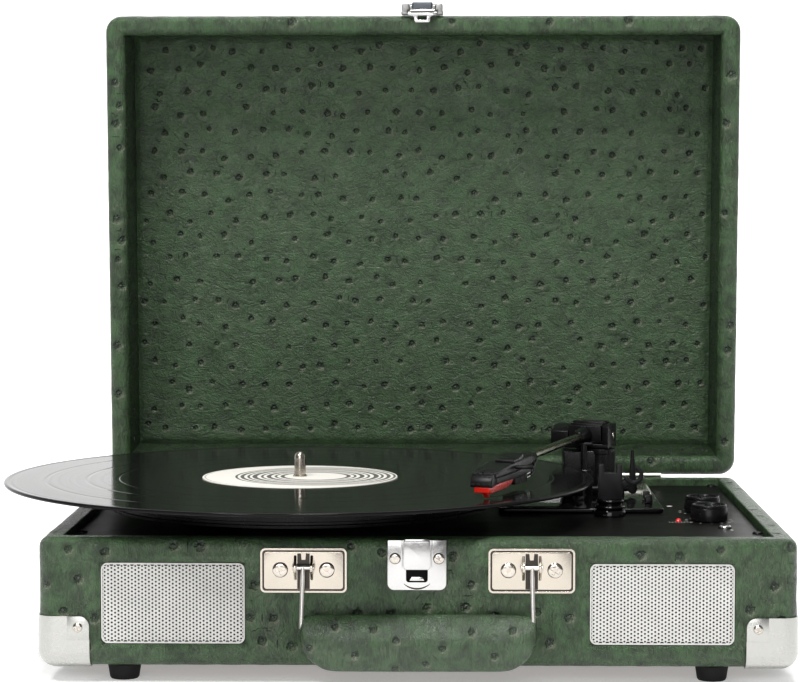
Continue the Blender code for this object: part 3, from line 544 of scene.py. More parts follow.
def label_print():
    """Off-white paper with plain printed rings that lie off centre."""
    look = Look("label_paper", (0.78, 0.75, 0.68), 0.6)
    radius = from_spindle(look, 8.0)
    ink = 0.0
    for middle_r, half in (
            (40.6, 0.55), (37.6, 0.9), (34.4, 0.6), (31.2, 1.2), (27.4, 0.6), (24.0, 1.1), (20.4, 0.6),
            (17.0, 1.0)):
        ink = look.maths("MAXIMUM", ink, look.remap(look.apart(radius, middle_r), half + 0.12, half))
    fibres = look.noise(700.0, 4.0, 0.7)
    paper = look.mix(fibres, (0.66, 0.64, 0.58), (0.80, 0.78, 0.72))
    edge = look.remap(look.apart(from_spindle(look), 48.6), 0.5, 0.3, 0.0, 0.5)
    printed = look.mix(look.times(ink, 0.9), look.mix(edge, paper, [0.1] * 3), [0.03] * 3)
    return look.out(
        Base_Color=printed, Normal=look.bump(fibres, 0.02), Roughness=look.remap(fibres, 0.3, 0.7, 0.5, 0.7))


def deck_finish():
    """Fine matt black with a soft sheen."""
    look = Look("deck_black", (0.008, 0.008, 0.0075), 0.3, Specular_IOR_Level=0.08)
    grain = look.noise(3200.0, 2.0, 0.6)
    dust = look.noise(1500.0, 2.0, 0.5)
    patches = look.noise(30.0, 4.0, 0.6, 0.5)
    shade = look.mix(look.remap(patches, 0.3, 0.7), (0.0022, 0.0022, 0.002), (0.0042, 0.0041, 0.0036))
    shade = look.mix(look.remap(dust, 0.74, 0.80), shade, (0.03, 0.03, 0.028))
    return look.out(
        Base_Color=shade, Roughness=look.remap(patches, 0.3, 0.7, 0.34, 0.44), Normal=look.bump(grain, 0.03))


def fibreboard():
    look = Look("dark_fibreboard", (0.12, 0.08, 0.05), 0.75)
    fibres = look.noise(260.0, 6.0, 0.75, 0.6, look.mapped((1, 3, 1)))
    flecks = look.noise(900.0, 2.0, 0.5)
    shade = look.mix(look.remap(fibres, 0.3, 0.7), (0.07, 0.045, 0.028), (0.17, 0.115, 0.07))
    shade = look.mix(look.remap(flecks, 0.62, 0.7, 0.0, 0.5), shade, (0.28, 0.2, 0.12))
    return look.out(
        Base_Color=shade, Normal=look.bump(fibres, 0.12), Roughness=look.remap(fibres, 0.3, 0.7, 0.6, 0.85))


def board_finish():
    """Solder mask with a faint pattern of tracks."""
    look = Look("solder_mask", (0.02, 0.16, 0.07), 0.35)
    tracks = look.node(
        "TexBrick",
        {
            "Vector": look.place, "Scale": 180.0, "Mortar Size": 0.03, "Color1": (0.03, 0.2, 0.09, 1),
            "Color2": (0.03, 0.17, 0.08, 1), "Mortar": (0.01, 0.09, 0.04, 1)})
    return look.out(Base_Color=tracks.outputs["Color"], Normal=look.bump(tracks.outputs["Fac"], 0.03))


LEATHER = leather("green_covering", 0.88, 0.25)
LINING = leather("green_lining", 0.82, 0.2, (0.45, 1, 0.75), 0.021)
# A darker copy of the covering for the lid's inner walls: painted shade.
SHADED_INNER_LEATHER = leather("green_inner_wall_painted_shade", 0.5, 0.2)
GRIP_LEATHER = leather("green_grip", 0.8, 0.3, (1, 1, 0.25), shine=0.5, relief=0.6)
DECK = deck_finish()
BLACK = plastic("black_moulding", (0.003, 0.003, 0.0032), 0.30, Specular_IOR_Level=0.15)
SATIN = plastic("black_satin", (0.004, 0.004, 0.0045), 0.28, 0.012, Specular_IOR_Level=0.17)
GREY = plastic("grey_black_moulding", (0.006, 0.006, 0.007), 0.38, Specular_IOR_Level=0.18)
GLOSS = plastic("black_polished", (0.002, 0.002, 0.0024), 0.09, 0.004, 400.0, 0.03, Specular_IOR_Level=0.3)
VINYL = vinyl()
LABEL = label_print()
NICKEL = metal("warm_nickel", (0.50, 0.452, 0.39), 0.20, (1, 6, 6))
CHROME = metal("bright_plate", (0.52, 0.515, 0.51), 0.16, grain=0.004, spread=0.03)
# This dark plate stands in for shade: the painted shade in the handle plates' groove and the latch's
# crescent; the hasp's axle and web are made of it too.
DARK_METAL = metal("shaded_plate", (0.045, 0.04, 0.036), 0.35)
BLUE_METAL = metal("blued_plate", (0.085, 0.095, 0.105), 0.35)
WIRE_METAL = metal("pale_wire", (0.60, 0.58, 0.55), 0.34, grain=0.004)
# A darker copy of the plate metal for the lid's latch: painted shade.
SHADED_EAR_METAL = metal("shaded_latch_plate", (0.24, 0.24, 0.235), 0.3, grain=0.006)
SCREW_METAL = metal("screw_plate", (0.52, 0.48, 0.43), 0.14, grain=0.006)
CAP_METAL = metal("satin_cap_metal", (0.45, 0.447, 0.427), 0.28, (1, 1, 5), grain=0.02)
STEEL = metal("brushed_steel", (0.52, 0.51, 0.46), 0.32, (1, 8, 8))
ARM_METAL = metal("olive_tube", (0.26, 0.26, 0.19), 0.20, (8, 1, 8))
PAINTED = plastic("grille_paint", (0.50, 0.495, 0.475), 0.5, 0.01, spread=0.01, Specular_IOR_Level=0.3)
RUBBER = plastic("rubber_black", (0.006, 0.006, 0.006), 0.78, 0.05, 1300.0, Specular_IOR_Level=0.25)
RED = plastic("red_moulding", (0.80, 0.022, 0.012), 0.28, 0.01)
LAMP = plastic("red_lens", (0.75, 0.02, 0.02), 0.10, 0.002, Coat_Weight=0.6)
WHITE = plastic("white_moulding", (0.62, 0.61, 0.59), 0.35, 0.01)
BOARD = board_finish()
PANEL = fibreboard()
# Black speaker cloth; the same black is also a painted shade in the grille pockets and bores and behind the
# latch window.
CLOTH = plastic("speaker_cloth_and_shade", (0.004, 0.004, 0.004), 0.9, 0.2, 1800.0, Specular_IOR_Level=0.1)


# ---------------------------------------------------------------- embossed covering

# How the quills lie and how deep they are pressed; the two spreads are in square millimetres
STEP = 1.2
QUILL_GAP = 14.6
ROW_SHARE = 0.87
LEFT_OUT = 0.07
QUILL_REACH = 5.5
MOUND_SPREAD = 12.0
DISH_SPREAD = 2.2
BATCH = 20000
rng = np.random.default_rng(SEED)


def ring(width, depth, radius, inset, steps, least=0.0):
    """Points round a rounded rectangle, an inset inside its outer edge."""
    nx, ny, na = steps
    r = max(radius - inset, least)
    x0, x1 = inset + r, width - inset - r
    y0, y1 = inset + r, depth - inset - r
    sides = (
        ((x0, inset), (x1, inset), nx, (x1, y0)), ((width - inset, y0), (width - inset, y1), ny, (x1, y1)),
        ((x1, depth - inset), (x0, depth - inset), nx, (x0, y1)), ((inset, y1), (inset, y0), ny, (x0, y0)))
    points = []
    for quarter, (start, end, count, centre) in enumerate(sides):
        share = np.linspace(0, 1, count + 1)[:, None]
        points.append(np.array(start) * (1 - share) + np.array(end) * share)
        angle = np.radians(90 * quarter - 90 + 90 * np.arange(1, na) / na)
        points.append(np.stack([centre[0] + r * np.cos(angle), centre[1] + r * np.sin(angle)], 1))
    return np.vstack(points)


def spaced(corners, step):
    """A section's path of (inset, z, radius) corners with arcs, resampled at a step."""
    path = []
    for i, (x, z, r) in enumerate(corners):
        here = np.array((x, z), float)
        if r <= 0 or i in (0, len(corners) - 1):
            path.append(here)
            continue
        before = np.array(corners[i - 1][:2]) - here
        after = np.array(corners[i + 1][:2]) - here
        before /= np.linalg.norm(before)
        after /= np.linalg.norm(after)
        centre = here + (before + after) * r
        for t in np.linspace(0, pi / 2, 7):
            path.append(centre - after * r * cos(t) - before * r * sin(t))
    points = [path[0]]
    for a, b in zip(path, path[1:]):
        count = max(1, int(round(np.linalg.norm(b - a) / step)))
        points += [a + (b - a) * k / count for k in range(1, count + 1)]
    return points


def sweep(width, depth, radius, section, steps, closed, least=0.0):
    """A section of (inset, z) points carried round a rounded rectangle."""
    rows = []
    for inset, z in section:
        flat = ring(width, depth, radius, inset, steps, least)
        rows.append(np.column_stack([flat, np.full(len(flat), z)]))
    count = len(rows[0])
    verts = np.vstack(rows)
    first = np.arange(count)
    after = (first + 1) % count
    faces = []
    last = len(rows) if closed else len(rows) - 1
    for i in range(last):
        j = (i + 1) % len(rows)
        faces.append(
            np.stack([i * count + first, i * count + after, j * count + after, j * count + first], 1))
    return verts, np.vstack(faces)


def grid(x0, x1, y0, y1, z, nx, ny):
    """A flat grid of quads."""
    x, y = np.meshgrid(np.linspace(x0, x1, nx + 1), np.linspace(y0, y1, ny + 1))
    verts = np.column_stack([x.ravel(), y.ravel(), np.full(x.size, z)])
    i, j = np.meshgrid(np.arange(nx), np.arange(ny))
    start = (j * (nx + 1) + i).ravel()
    return verts, np.stack([start, start + 1, start + nx + 2, start + nx + 1], 1)


def welded(*parts, dist=0.01):
    bm = to_bmesh(*[mesh(verts.tolist(), faces.tolist()) for verts, faces in parts])
    bmesh.ops.remove_doubles(bm, verts=bm.verts, dist=dist)
    return from_bmesh(bm)


def quill_sites(faces, gap=QUILL_GAP, margin=2.6, big=1.25):
    """Quills strewn over flat faces given as (corner, u, v, width, height); the normal is u x v."""
    sites = []
    for corner, u, v, width, height in faces:
        u, v, corner = (np.array(a, float) for a in (u, v, corner))
        rows = int(height / (gap * ROW_SHARE)) + 2
        columns = int(width / gap) + 2
        for row in range(rows):
            for column in range(columns):
                a = (column + 0.5 * (row % 2) - 0.3) * gap + rng.uniform(-0.2, 0.2) * gap
                b = (row - 0.2) * gap * ROW_SHARE + rng.uniform(-0.2, 0.2) * gap
                lean = radians(rng.uniform(-30, 30))
                size = rng.uniform(0.8, 1.15) * big
                if margin < a < width - margin and margin < b < height - margin and rng.random() > LEFT_OUT:
                    side = u * cos(lean) + v * sin(lean)
                    up = v * cos(lean) - u * sin(lean)
                    sites.append(np.concatenate([corner + u * a + v * b, side / size, up / size]))
    return np.array(sites)


def emboss(data, sites, mound=0.42, dish=0.7, sag=0.10, thick=1.2):
    """Presses the quills into a covering, and keeps each point's place in its quill for the material."""
    count = len(data.vertices)
    points = np.empty(count * 3)
    data.vertices.foreach_get("co", points)
    points = points.reshape(-1, 3)
    normals = np.array([n.vector for n in data.vertex_normals])
    offset = np.zeros((count, 3))
    rise = np.zeros(count)
    for begin in range(0, count, BATCH):
        part = points[begin:begin + BATCH]
        away = part[:, None, :] - sites[None, :, :3]
        nearest = np.argmin((away ** 2).sum(2), 1)
        away = away[np.arange(len(part)), nearest]
        chosen = sites[nearest]
        across = (away * chosen[:, 3:6]).sum(1)
        along = (away * chosen[:, 6:9]).sum(1)
        reach2 = across ** 2 + along ** 2
        lift = np.abs((away * np.cross(chosen[:, 3:6], chosen[:, 6:9])).sum(1))
        near = (lift < thick) & (reach2 < QUILL_REACH ** 2)
        shape = mound * np.exp(-reach2 / MOUND_SPREAD) - dish * np.exp(-reach2 / DISH_SPREAD)
        rise[begin:begin + BATCH] = shape * np.exp(-(lift / thick) ** 2 / 2.8)
        offset[begin:begin + BATCH] = np.column_stack([across, along, near])
    waves = sum(
        np.sin(points @ rng.normal(0, 1, 3) * 0.19 * k + rng.uniform(0, 6)) / k
        for k in (1, 1.6, 2.3, 3.1, 4.2))
    points += normals * (rise + sag * waves * 0.4)[:, None]
    data.vertices.foreach_set("co", points.ravel())
    data.attributes.new("quill", "FLOAT_VECTOR", "POINT").data.foreach_set("vector", offset.ravel())
    data.update()
    return data


def wall_faces(x0, x1, y0, y1, z0, z1, inwards=False):
    """The four walls round a box, as faces for quills."""
    corners = [(x0, y0), (x1, y0), (x1, y1), (x0, y1)]
    if inwards:
        corners = corners[::-1]
    spans = [
        (x1 - x0, (1, 0, 0)), (y1 - y0, (0, -1 if inwards else 1, 0)), (x1 - x0, (-1, 0, 0)),
        (y1 - y0, (0, 1 if inwards else -1, 0))]
    return [((*corner, z0), along, (0, 0, 1), span, z1 - z0) for corner, (span, along) in zip(corners, spans)]


def rim_faces(x0, x1, y0, y1, z, width, up=1):
    """The four strips of a rim, as faces for quills."""
    inner = y1 - y0 - 2 * width
    strips = (
        (x0, y0, x1 - x0, width), (x0, y1 - width, x1 - x0, width), (x0, y0 + width, width, inner),
        (x1 - width, y0 + width, width, inner))
    return [
        ((x, y if up > 0 else y + deep, z), (1, 0, 0), (0, up, 0), wide, deep) for x, y, wide, deep in strips]


def tag(data, chosen):
    """Gives the faces whose centre passes a test the second material."""
    for face in data.polygons:
        if chosen(face.center):
            face.material_index = 1


GRILLES = {side: local_box(f"grille_{side}") for side in ("left", "right")}
POCKET_DEEP = 1.7
BORE_R = 17.5
PANEL_GAP = 0.4


def base_covering():
    steps = (int((CASE_W - 2 * EDGE_R) / STEP), int((CASE_D - 2 * EDGE_R) / STEP), 8)
    section = spaced(
        [
            (EDGE_R + 0.1, 0, 0), (0, 0, EDGE_R - 0.01), (0, BASE_H, TOP_EDGE_R), (WALL, BASE_H, 0.7),
            (WALL, DECK_Z - 4, 0)],
        STEP)
    section += [(WALL, DECK_Z / 2), (WALL, 0)]
    data = welded(sweep(CASE_W, CASE_D, EDGE_R, section, steps, True, 0.6))
    tools = []
    for low, high in GRILLES.values():
        middle = (low + high) / 2
        half = (high - low) / 2 + Vector((0.3, 0, 0.3))
        outline = rounded(middle.x - half.x, middle.x + half.x, middle.z - half.z, middle.z + half.z, 3.3, 8)
        tools.append(moved(slab([outline], -POCKET_DEEP, 4), XZ))
        tools.append(moved(drum(BORE_R, -20, 6, 0.1), XZ, shift(middle.x, 0, middle.z)))
    low, high = local_box("rear_jack_panel")
    tools.append(
        block(
            (low.x - PANEL_GAP, CASE_D - WALL - 2, low.z - PANEL_GAP),
            (high.x + PANEL_GAP, CASE_D + 2, high.z + PANEL_GAP)))
    data = carve(data, tools)
    # The faces in the grille pockets and bores take the black cloth: painted shade in the recess.
    tag(data, lambda c: 0.35 < c.y < WALL + 0.5 and 12 < c.z < 50 and WALL + 1 < c.x < CASE_W - WALL - 1)
    press_round_grilles(data)
    sites = quill_sites(
        wall_faces(0, CASE_W, 0, CASE_D, 0, BASE_H) + rim_faces(0, CASE_W, 0, CASE_D, BASE_H, WALL),
        QUILL_GAP * 1.16)
    keep = [i for i, s in enumerate(sites) if not near_fitting(s[0], s[1], s[2])]
    return emboss(data, sites[keep])


def near_fitting(x, y, z):
    """True where a quill would lie at or under a grille's edge."""
    edge = 2.5
    return y <= 1 and any(
        low.x - edge < x < high.x + edge and low.z - edge < z < high.z + edge for low,
        high in GRILLES.values())


def press_round_grilles(data):
    """The covering dips beside each grille pocket and swells a little around it."""
    for vertex in data.vertices:
        x, y, z = vertex.co
        for low, high in GRILLES.values() if y <= 0.3 else ():
            dx, dz = max(low.x - x, x - high.x), max(low.z - z, z - high.z)
            away = max(dx, dz) if min(dx, dz) < 0 else (dx * dx + dz * dz) ** 0.5
            if 0 <= away < 8:
                vertex.co.y += 0.75 * np.exp(-(away / 1.1) ** 2) - 0.42 * np.exp(-((away - 2.9) / 1.3) ** 2)


place("base_covering", base_covering(), [LEATHER, CLOTH], "case", hides=["base_shell"], crease=50)


def lid_covering():
    nx, ny = int((CASE_W - 2 * LID_CORNER_R) / STEP), int((CASE_D - 2 * LID_CORNER_R) / STEP)
    section = spaced(
        [
            (WALL, LINING_Z + 1.3, 0), (WALL, LID_RIM, LID_EDGE_R), (0, LID_RIM, LID_EDGE_R),
            (0, LID_TOP, LID_EDGE_R), (LID_CORNER_R, LID_TOP, 0)],
        STEP)
    walls = sweep(CASE_W, CASE_D, LID_CORNER_R, section, (nx, ny, 8), False)
    top = grid(LID_CORNER_R, CASE_W - LID_CORNER_R, LID_CORNER_R, CASE_D - LID_CORNER_R, LID_TOP, nx, ny)
    under = grid(WALL, CASE_W - WALL, WALL, CASE_D - WALL, LINING_Z + 1.3, nx, ny)
    data = moved(welded(walls, top, under, dist=0.02), shift(0, LID_FRONT, 0))
    rear = LID_REAR
    sites = quill_sites(
        wall_faces(0, CASE_W, LID_FRONT, rear, LID_RIM, LID_TOP)
        + wall_faces(WALL, CASE_W - WALL, LID_FRONT + WALL, rear - WALL, LID_RIM, LINING_Z, True)
        + rim_faces(0, CASE_W, LID_FRONT, rear, LID_RIM, WALL, -1)
        + [((0, LID_FRONT, LID_TOP), (1, 0, 0), (0, 1, 0), CASE_W, CASE_D)])
    # The lid's inner walls take the darker copy of the leather, a painted shade.
    tag(
        data,
        lambda c: 4 < c.x < CASE_W - 4 and LID_FRONT + 4 < c.y < rear - 4 and LID_RIM + 3 < c.z < LINING_Z + 4
    )
    return emboss(data, sites, 0.26, sag=0.06)


place("lid_covering", lid_covering(), [LEATHER, SHADED_INNER_LEATHER], "lid", LID, ["lid_shell"], 50)


def lid_inside():
    """The lid's inner sheet, tucked down a little where it meets the walls."""
    x0, x1 = WALL + 0.2, CASE_W - WALL - 0.2
    y0, y1 = LID_FRONT + WALL + 0.2, LID_REAR - WALL - 0.2
    nx, ny = int((x1 - x0) / (STEP * 0.85)), int((y1 - y0) / (STEP * 0.85))
    verts, faces = grid(x0, x1, y0, y1, LINING_Z, nx, ny)
    edge = np.minimum.reduce([verts[:, 0] - x0, x1 - verts[:, 0], verts[:, 1] - y0, y1 - verts[:, 1]])
    verts[:, 2] += 0.9 * np.exp(-(edge / 1.6) ** 2) - 0.35 * np.exp(-((edge - 5) / 3.5) ** 2)
    back = verts.copy()
    back[:, 2] = LINING_Z + 1.15
    bm = to_bmesh(welded((verts, faces[:, ::-1]), (back, faces), dist=0.0001))
    bmesh.ops.bridge_loops(bm, edges=[e for e in bm.edges if e.is_boundary])
    data = from_bmesh(bm)
    sites = quill_sites(
        [((x0, y1, LINING_Z), (1, 0, 0), (0, -1, 0), x1 - x0, y1 - y0)], QUILL_GAP * 0.97, big=0.98)
    return emboss(data, sites)


place("lid_inside", lid_inside(), LINING, "lid", LID, ["lid_lining"], 50)


def inked(data, index):
    """Gives a whole shape one of its piece's materials."""
    for face in data.polygons:
        face.material_index = index
    return data


def dome(radius, height):
    """A pan head along +z with a rounded shoulder and a slightly domed top."""
    top = [(radius * 0.55 * k / 3, height - 0.06 * height * (k / 3) ** 2) for k in range(4)]
    return lathe(
        top + arc(radius - height * 0.9, 0.0, height * 0.9, 78, 4, 6) + [(radius, -0.6), (0, -0.6)], 40)


def screw(radius, height, spin=20.0, width=0.19, deep=0.8):
    """A pan-head cross-recess screw along +z, seated at z = 0."""
    arm = radius * 0.62
    half = radius * width
    tools = [
        moved(block((-arm, -half, height * (1 - deep)), (arm, half, height + 1)), turn(spin + a, "Z"))
        for a in (0, 90)]
    tools.append(moved(drum(radius * 0.26, height * (1 - deep * 1.25), height + 1, 0.02, 16)))
    return carve(dome(radius, height), tools)


def screws(spots, radius, height, *matrices, spin=17, step=41):
    """Several screws; every one is turned a little differently."""
    return merge(
        *[
            moved(screw(radius, height, spin + step * i), *matrices, shift(*spot)) for i,
            spot in enumerate(spots)])


# ---------------------------------------------------------------- grilles

HOLE_R = 0.5
COLUMN = 1.6
ROW = 1.84
ROOT3 = 3 ** 0.5


def held(value, limit):
    return max(-limit, min(limit, value))


def punched(width, height, low, high):
    """A sheet of staggered round holes: one hexagonal cell for each hole, held inside the outline."""
    bm = bmesh.new()
    limit_x, limit_y = width / 2 - 0.3, height / 2 - 0.3
    columns, rows = int(limit_x / COLUMN), int(limit_y / ROW)
    rim = [(cos(radians(30 * k)), sin(radians(30 * k))) for k in range(12)]
    size = ROW / ROOT3
    cell = [(size * x * long, size * y * long) for (x, y), long in zip(rim, [1, ROOT3 / 2] * 6)]
    hole = [(HOLE_R * x, HOLE_R * y) for x, y in rim]
    for i in range(-columns, columns + 1):
        for j in range(-rows - 1, rows + 1):
            x, y = i * COLUMN, (j + 0.5 * (i % 2)) * ROW
            if abs(x) > limit_x - 0.5 or abs(y) > limit_y - 0.5:
                continue
            near_x, near_y = limit_x - abs(x), limit_y - abs(y)
            if near_x ** 2 + near_y ** 2 < 3.2 and near_x + near_y < 2.4:
                continue
            loops = []
            for points, z in ((cell, low), (cell, high), (hole, high), (hole, low)):
                loops.append(
                    [bm.verts.new((held(x + px, limit_x), held(y + py, limit_y), z)) for px, py in points])
            for a, b in ((1, 2), (2, 3), (3, 0)):
                for k in range(12):
                    n = (k + 1) % 12
                    bm.faces.new((loops[a][k], loops[a][n], loops[b][n], loops[b][k]))
    bmesh.ops.remove_doubles(bm, verts=bm.verts, dist=0.02)
    bmesh.ops.dissolve_degenerate(bm, edges=bm.edges, dist=0.001)
    return from_bmesh(bm)


def grille(low, high):
    """Punched sheet, its folded rim, and the dark cloth behind it, in the case's place."""
    size = high - low
    outer = rounded(-size.x / 2, size.x / 2, -size.z / 2, size.z / 2, 3.0, 10)
    inner = rounded(-size.x / 2 + 0.75, size.x / 2 - 0.75, -size.z / 2 + 0.75, size.z / 2 - 0.75, 2.3, 10)
    sheet = punched(size.x, size.z, -0.95, -0.5)
    rim = slab([outer, inner], -1.15, -0.42, 0.16)
    cloth = inked(slab([inner], -1.5, -1.2), 1)
    middle = (low + high) / 2
    return moved(merge(sheet, rim, cloth), XZ, shift(middle.x, 0, middle.z))


for side, (low, high) in GRILLES.items():
    place(
        f"punched_grille_{side}", grille(low, high), [PAINTED, CLOTH], "case",
        hides=[f"grille_{side}"], crease=30)


# ---------------------------------------------------------------- corner caps

def rounded_base(grow):
    """The base's outer form with round bottom and upright edges, larger by grow."""
    bm = cube((-grow, -grow, -grow), (CASE_W + grow, CASE_D + grow, BASE_H))
    edges = [e for e in bm.edges if min(v.co.z for v in e.verts) < 0]
    bmesh.ops.bevel(bm, geom=edges, offset=EDGE_R + grow, segments=10, profile=0.5, affect="EDGES")
    return from_bmesh(bm)


def corner_cap():
    """The front left cap: three pressed faces with round free corners, and two raised tabs with screws."""
    free, far = 4.6, 40
    outline = [(-4, -4), (CAP, -4)] + arc(CAP - free, CAP - free, free, 0, 90, 8) + [(-4, CAP)]
    prisms = [moved(fill(outline, -far, 4), XZ), moved(fill(outline, -4, far), YZ), fill(outline, -4, far)]
    shell = carve(rounded_base(CAP_GAP + CAP_T), prisms, "INTERSECT")
    shell = carve(shell, [rounded_base(CAP_GAP)])
    face = CAP_GAP + CAP_T
    corner = [(13.8, 13.1), (CAP, 13.1)] + arc(CAP - free, CAP - free, free, 0, 90, 8) + [(13.8, CAP)]
    front_tab = moved(fill(corner, face - 0.3, face + 0.32, 0.24), XZ)
    side_tab = moved(fill(corner, -face - 0.32, -face + 0.3, 0.24), YZ)
    front_screw = inked(moved(screw(2.3, 1.1, 20), XZ, shift(18.8, -face - 0.3, 19)), 1)
    side_screw = inked(moved(screw(2.3, 1.1, 65), turn(-90, "Y"), shift(-face - 0.3, 18.8, 19)), 1)
    return merge(shell, front_tab, side_tab, front_screw, side_screw)


def mirrored(data, across_x, across_y):
    """A copy on the other side of the case's middle planes."""
    data = data.copy()
    for wanted, size, axis in ((across_x, CASE_W, (1, 0, 0)), (across_y, CASE_D, (0, 1, 0))):
        if wanted:
            data.transform(Matrix.Translation(Vector(axis) * size) @ Matrix.Scale(-1, 4, axis))
            data.flip_normals()
    return data


cap_form = corner_cap()
for front in ("front", "rear"):
    for side in ("left", "right"):
        place(
            f"pressed_cap_{front}_{side}", mirrored(cap_form, side == "right", front == "rear"),
            [CAP_METAL, SCREW_METAL], "case", hides=[f"corner_cap_{front}_{side}"], crease=32)


# ---------------------------------------------------------------- handle

PLATE_Z = 46.2
PLATE_W = 40.4
PLATE_H = 20.9
HANGER_X = {"left": 124.9, "right": 231.5}
WIRE_R = 1.12
PAD_VOXEL = 2.2
CLOTH_FRAMES = 20
CLOTH_STIFFNESS = 20
LEAN = 0.034
LEAN_FROM = 10.5


def handle_plate(x):
    """A dished plate with a beaded rim, a slot, two folded lugs and two screws."""
    w, h = PLATE_W / 2, PLATE_H / 2
    bead = slab(
        [rounded(-w, w, -h, h, 2.3, 8), rounded(-w + 0.9, w - 0.9, -h + 0.9, h - 0.9, 1.6, 8)], 0.3, 1.35,
        0.4, 4)
    low, high = 37.4 - PLATE_Z, 54.2 - PLATE_Z
    notch = [(2.9, low), (2.9, high), (1.15, high), (0.9, high - 3)]
    opening = [(-2.9, low)] + notch + flipped(notch[1:])
    field = slab([rounded(-w + 1.75, w - 1.75, -h + 1.75, h - 1.75, 1.2, 6), opening], 0.3, 1.3, 0.3, 3)
    # A dark metal slab under the bead and field; where it shows in the groove it is a painted shade and dark
    # reflection.
    dark = inked(slab([rounded(-w + 0.6, w - 0.6, -h + 0.6, h - 0.6, 1.6)], 0.3, 0.62), 1)
    pins = inked(screws([(-10.9, 0.3, 1.25), (10.9, 0.3, 1.25)], 3.7, 1.35), 2)
    flat = moved(merge(bead, field, dark, pins), XZ, shift(x, 0, PLATE_Z))
    ear = [(-0.6, 40.6), (-3.2, 44.6)] + arc(GRIP_AXIS.y, GRIP_AXIS.z, 2.9, 240, 120, 10) + [
        (-3.2, 51.0), (-0.6, 54.2)]
    lugs = [moved(fill(ear, start, start + 1.3, 0.3, 3), YZ, shift(x)) for start in (-4.5, 3.2)]
    return merge(flat, *lugs)


for side, x in HANGER_X.items():
    place(
        f"dished_plate_{side}", handle_plate(x), [NICKEL, DARK_METAL, SCREW_METAL], "case",
        hides=[f"handle_plate_{side}"], crease=40)
    lean = -0.8 if side == "left" else 0.5
    y, z = GRIP_AXIS.y, GRIP_AXIS.z
    wire = tube(
        [
            (x + lean * 0.2, y, z + 0.4), (x + lean * 0.25, y - 0.25, z - 0.8),
            (x + lean * 0.4, y - 0.7, z - 5), (x + lean * 0.7, y - 1.6, z - 14), (x + lean, y - 3.8, z - 24),
            (x + lean, y - 4.9, z - 28)],
        WIRE_R, 24)
    eye = tube(
        [(x - 5.1, y, z), (x - 4.9, y, z), (x + 4.9, y, z), (x + 5.1, y, z)], [0.8, WIRE_R, WIRE_R, 0.8], 24)
    place(f"wire_hanger_{side}", merge(wire, eye), WIRE_METAL, "handle", hides=[f"hanger_{side}"])


def simulated_pad(data, pressure=4.0, cap=1.6):
    """Cloth under a little pressure, so that the covering swells over its filling."""
    pad = linked("pad", data)
    scene = bpy.context.scene
    remesh = pad.modifiers.new("Remesh", "REMESH")
    remesh.mode = "VOXEL"
    remesh.voxel_size = PAD_VOXEL * MM
    pad.data = evaluated(pad)
    pad.modifiers.clear()
    start = [v.co.copy() for v in pad.data.vertices]
    cloth = pad.modifiers.new("Cloth", "CLOTH")
    cloth.settings.use_pressure = True
    cloth.settings.uniform_pressure_force = pressure
    cloth.settings.effector_weights.gravity = 0
    cloth.settings.quality = 6
    cloth.settings.tension_stiffness = CLOTH_STIFFNESS
    cloth.settings.compression_stiffness = CLOTH_STIFFNESS
    for number in range(1, CLOTH_FRAMES + 1):
        scene.frame_set(number)
    pad.data = evaluated(pad)
    pad.modifiers.clear()
    scene.frame_set(1)
    for vertex, before in zip(pad.data.vertices, start):
        push = vertex.co - before
        if push.length > cap * MM:
            vertex.co = before + push.normalized() * cap * MM
    for _ in range(2):
        finer = pad.modifiers.new("Subdivision", "SUBSURF")
        finer.levels = 1
        finer.render_levels = 1
    result = evaluated(pad)
    bpy.data.objects.remove(pad)
    return result


def grip_form():
    """The grip before its covering swells: a bar with big lower corners and a straight top edge."""
    left, right, low, high = 123.4, 233.8, 0.2, 25.9
    outline = (
        [(left + 0.2, 22.4), (left, 17.5)] + arc(left + 17.5, low + 17.5, 17.5, 190, 262, 12)
        + arc(right - 17.5, low + 17.5, 17.5, 278, 350, 12) + [(right, 17.5), (right - 0.2, 22.4)]
        + arc(right - 3.4, high - 3.0, 3.0, 12, 88, 5) + [(178, high + 0.2)]
        + arc(left + 3.4, high - 3.0, 3.0, 92, 168, 5))
    return moved(fill(outline, 2.2, 14.6, 4.4, 6), XZ)


def lean_back(z):
    """How far the grip's front curves back towards its top edge."""
    return LEAN * max(0.0, z - LEAN_FROM) ** 2


def grip_pad():
    """Simulated pad with its back seam and a few quills pressed into the front."""
    data = simulated_pad(moved(grip_form(), Matrix.Scale(MM, 4)))
    data.transform(Matrix.Scale(1 / MM, 4))
    sites = []
    for x, z in (
            (128.5, 12.2), (149.5, 9.0), (168.5, 15.8), (190.0, 12.2), (203.5, 19.2), (214.0, 8.6),
            (222.5, 20.0), (168.0, 2.2), (140.0, 21.5), (182.0, 5.0), (158.0, 20.5)):
        lean = radians(rng.uniform(-25, 25))
        u, v = np.array((cos(lean), 0, sin(lean))), np.array((-sin(lean), 0, cos(lean)))
        sites.append(np.concatenate([(x, -15.0 + lean_back(z), z), u, v]))
    for x in np.arange(134, 228, 13.0):
        sites.append(np.array((x + rng.uniform(-2, 2), -1.6, 13 + rng.uniform(-7, 7), -1, 0, 0, 0, 0, 1)))
    for vertex in data.vertices:
        x, y, z = vertex.co
        vertex.co.y += lean_back(z) * min(max((-y - 2.2) / 12.4, 0.0), 1.1)
    return emboss(data, np.array(sites), 0.28, 0.55, 0.12, 3.5)


place("padded_grip", grip_pad(), GRIP_LEATHER, "handle", hides=["handle_grip"], crease=60)


# ---------------------------------------------------------------- front latch

LATCH_X = 177.9


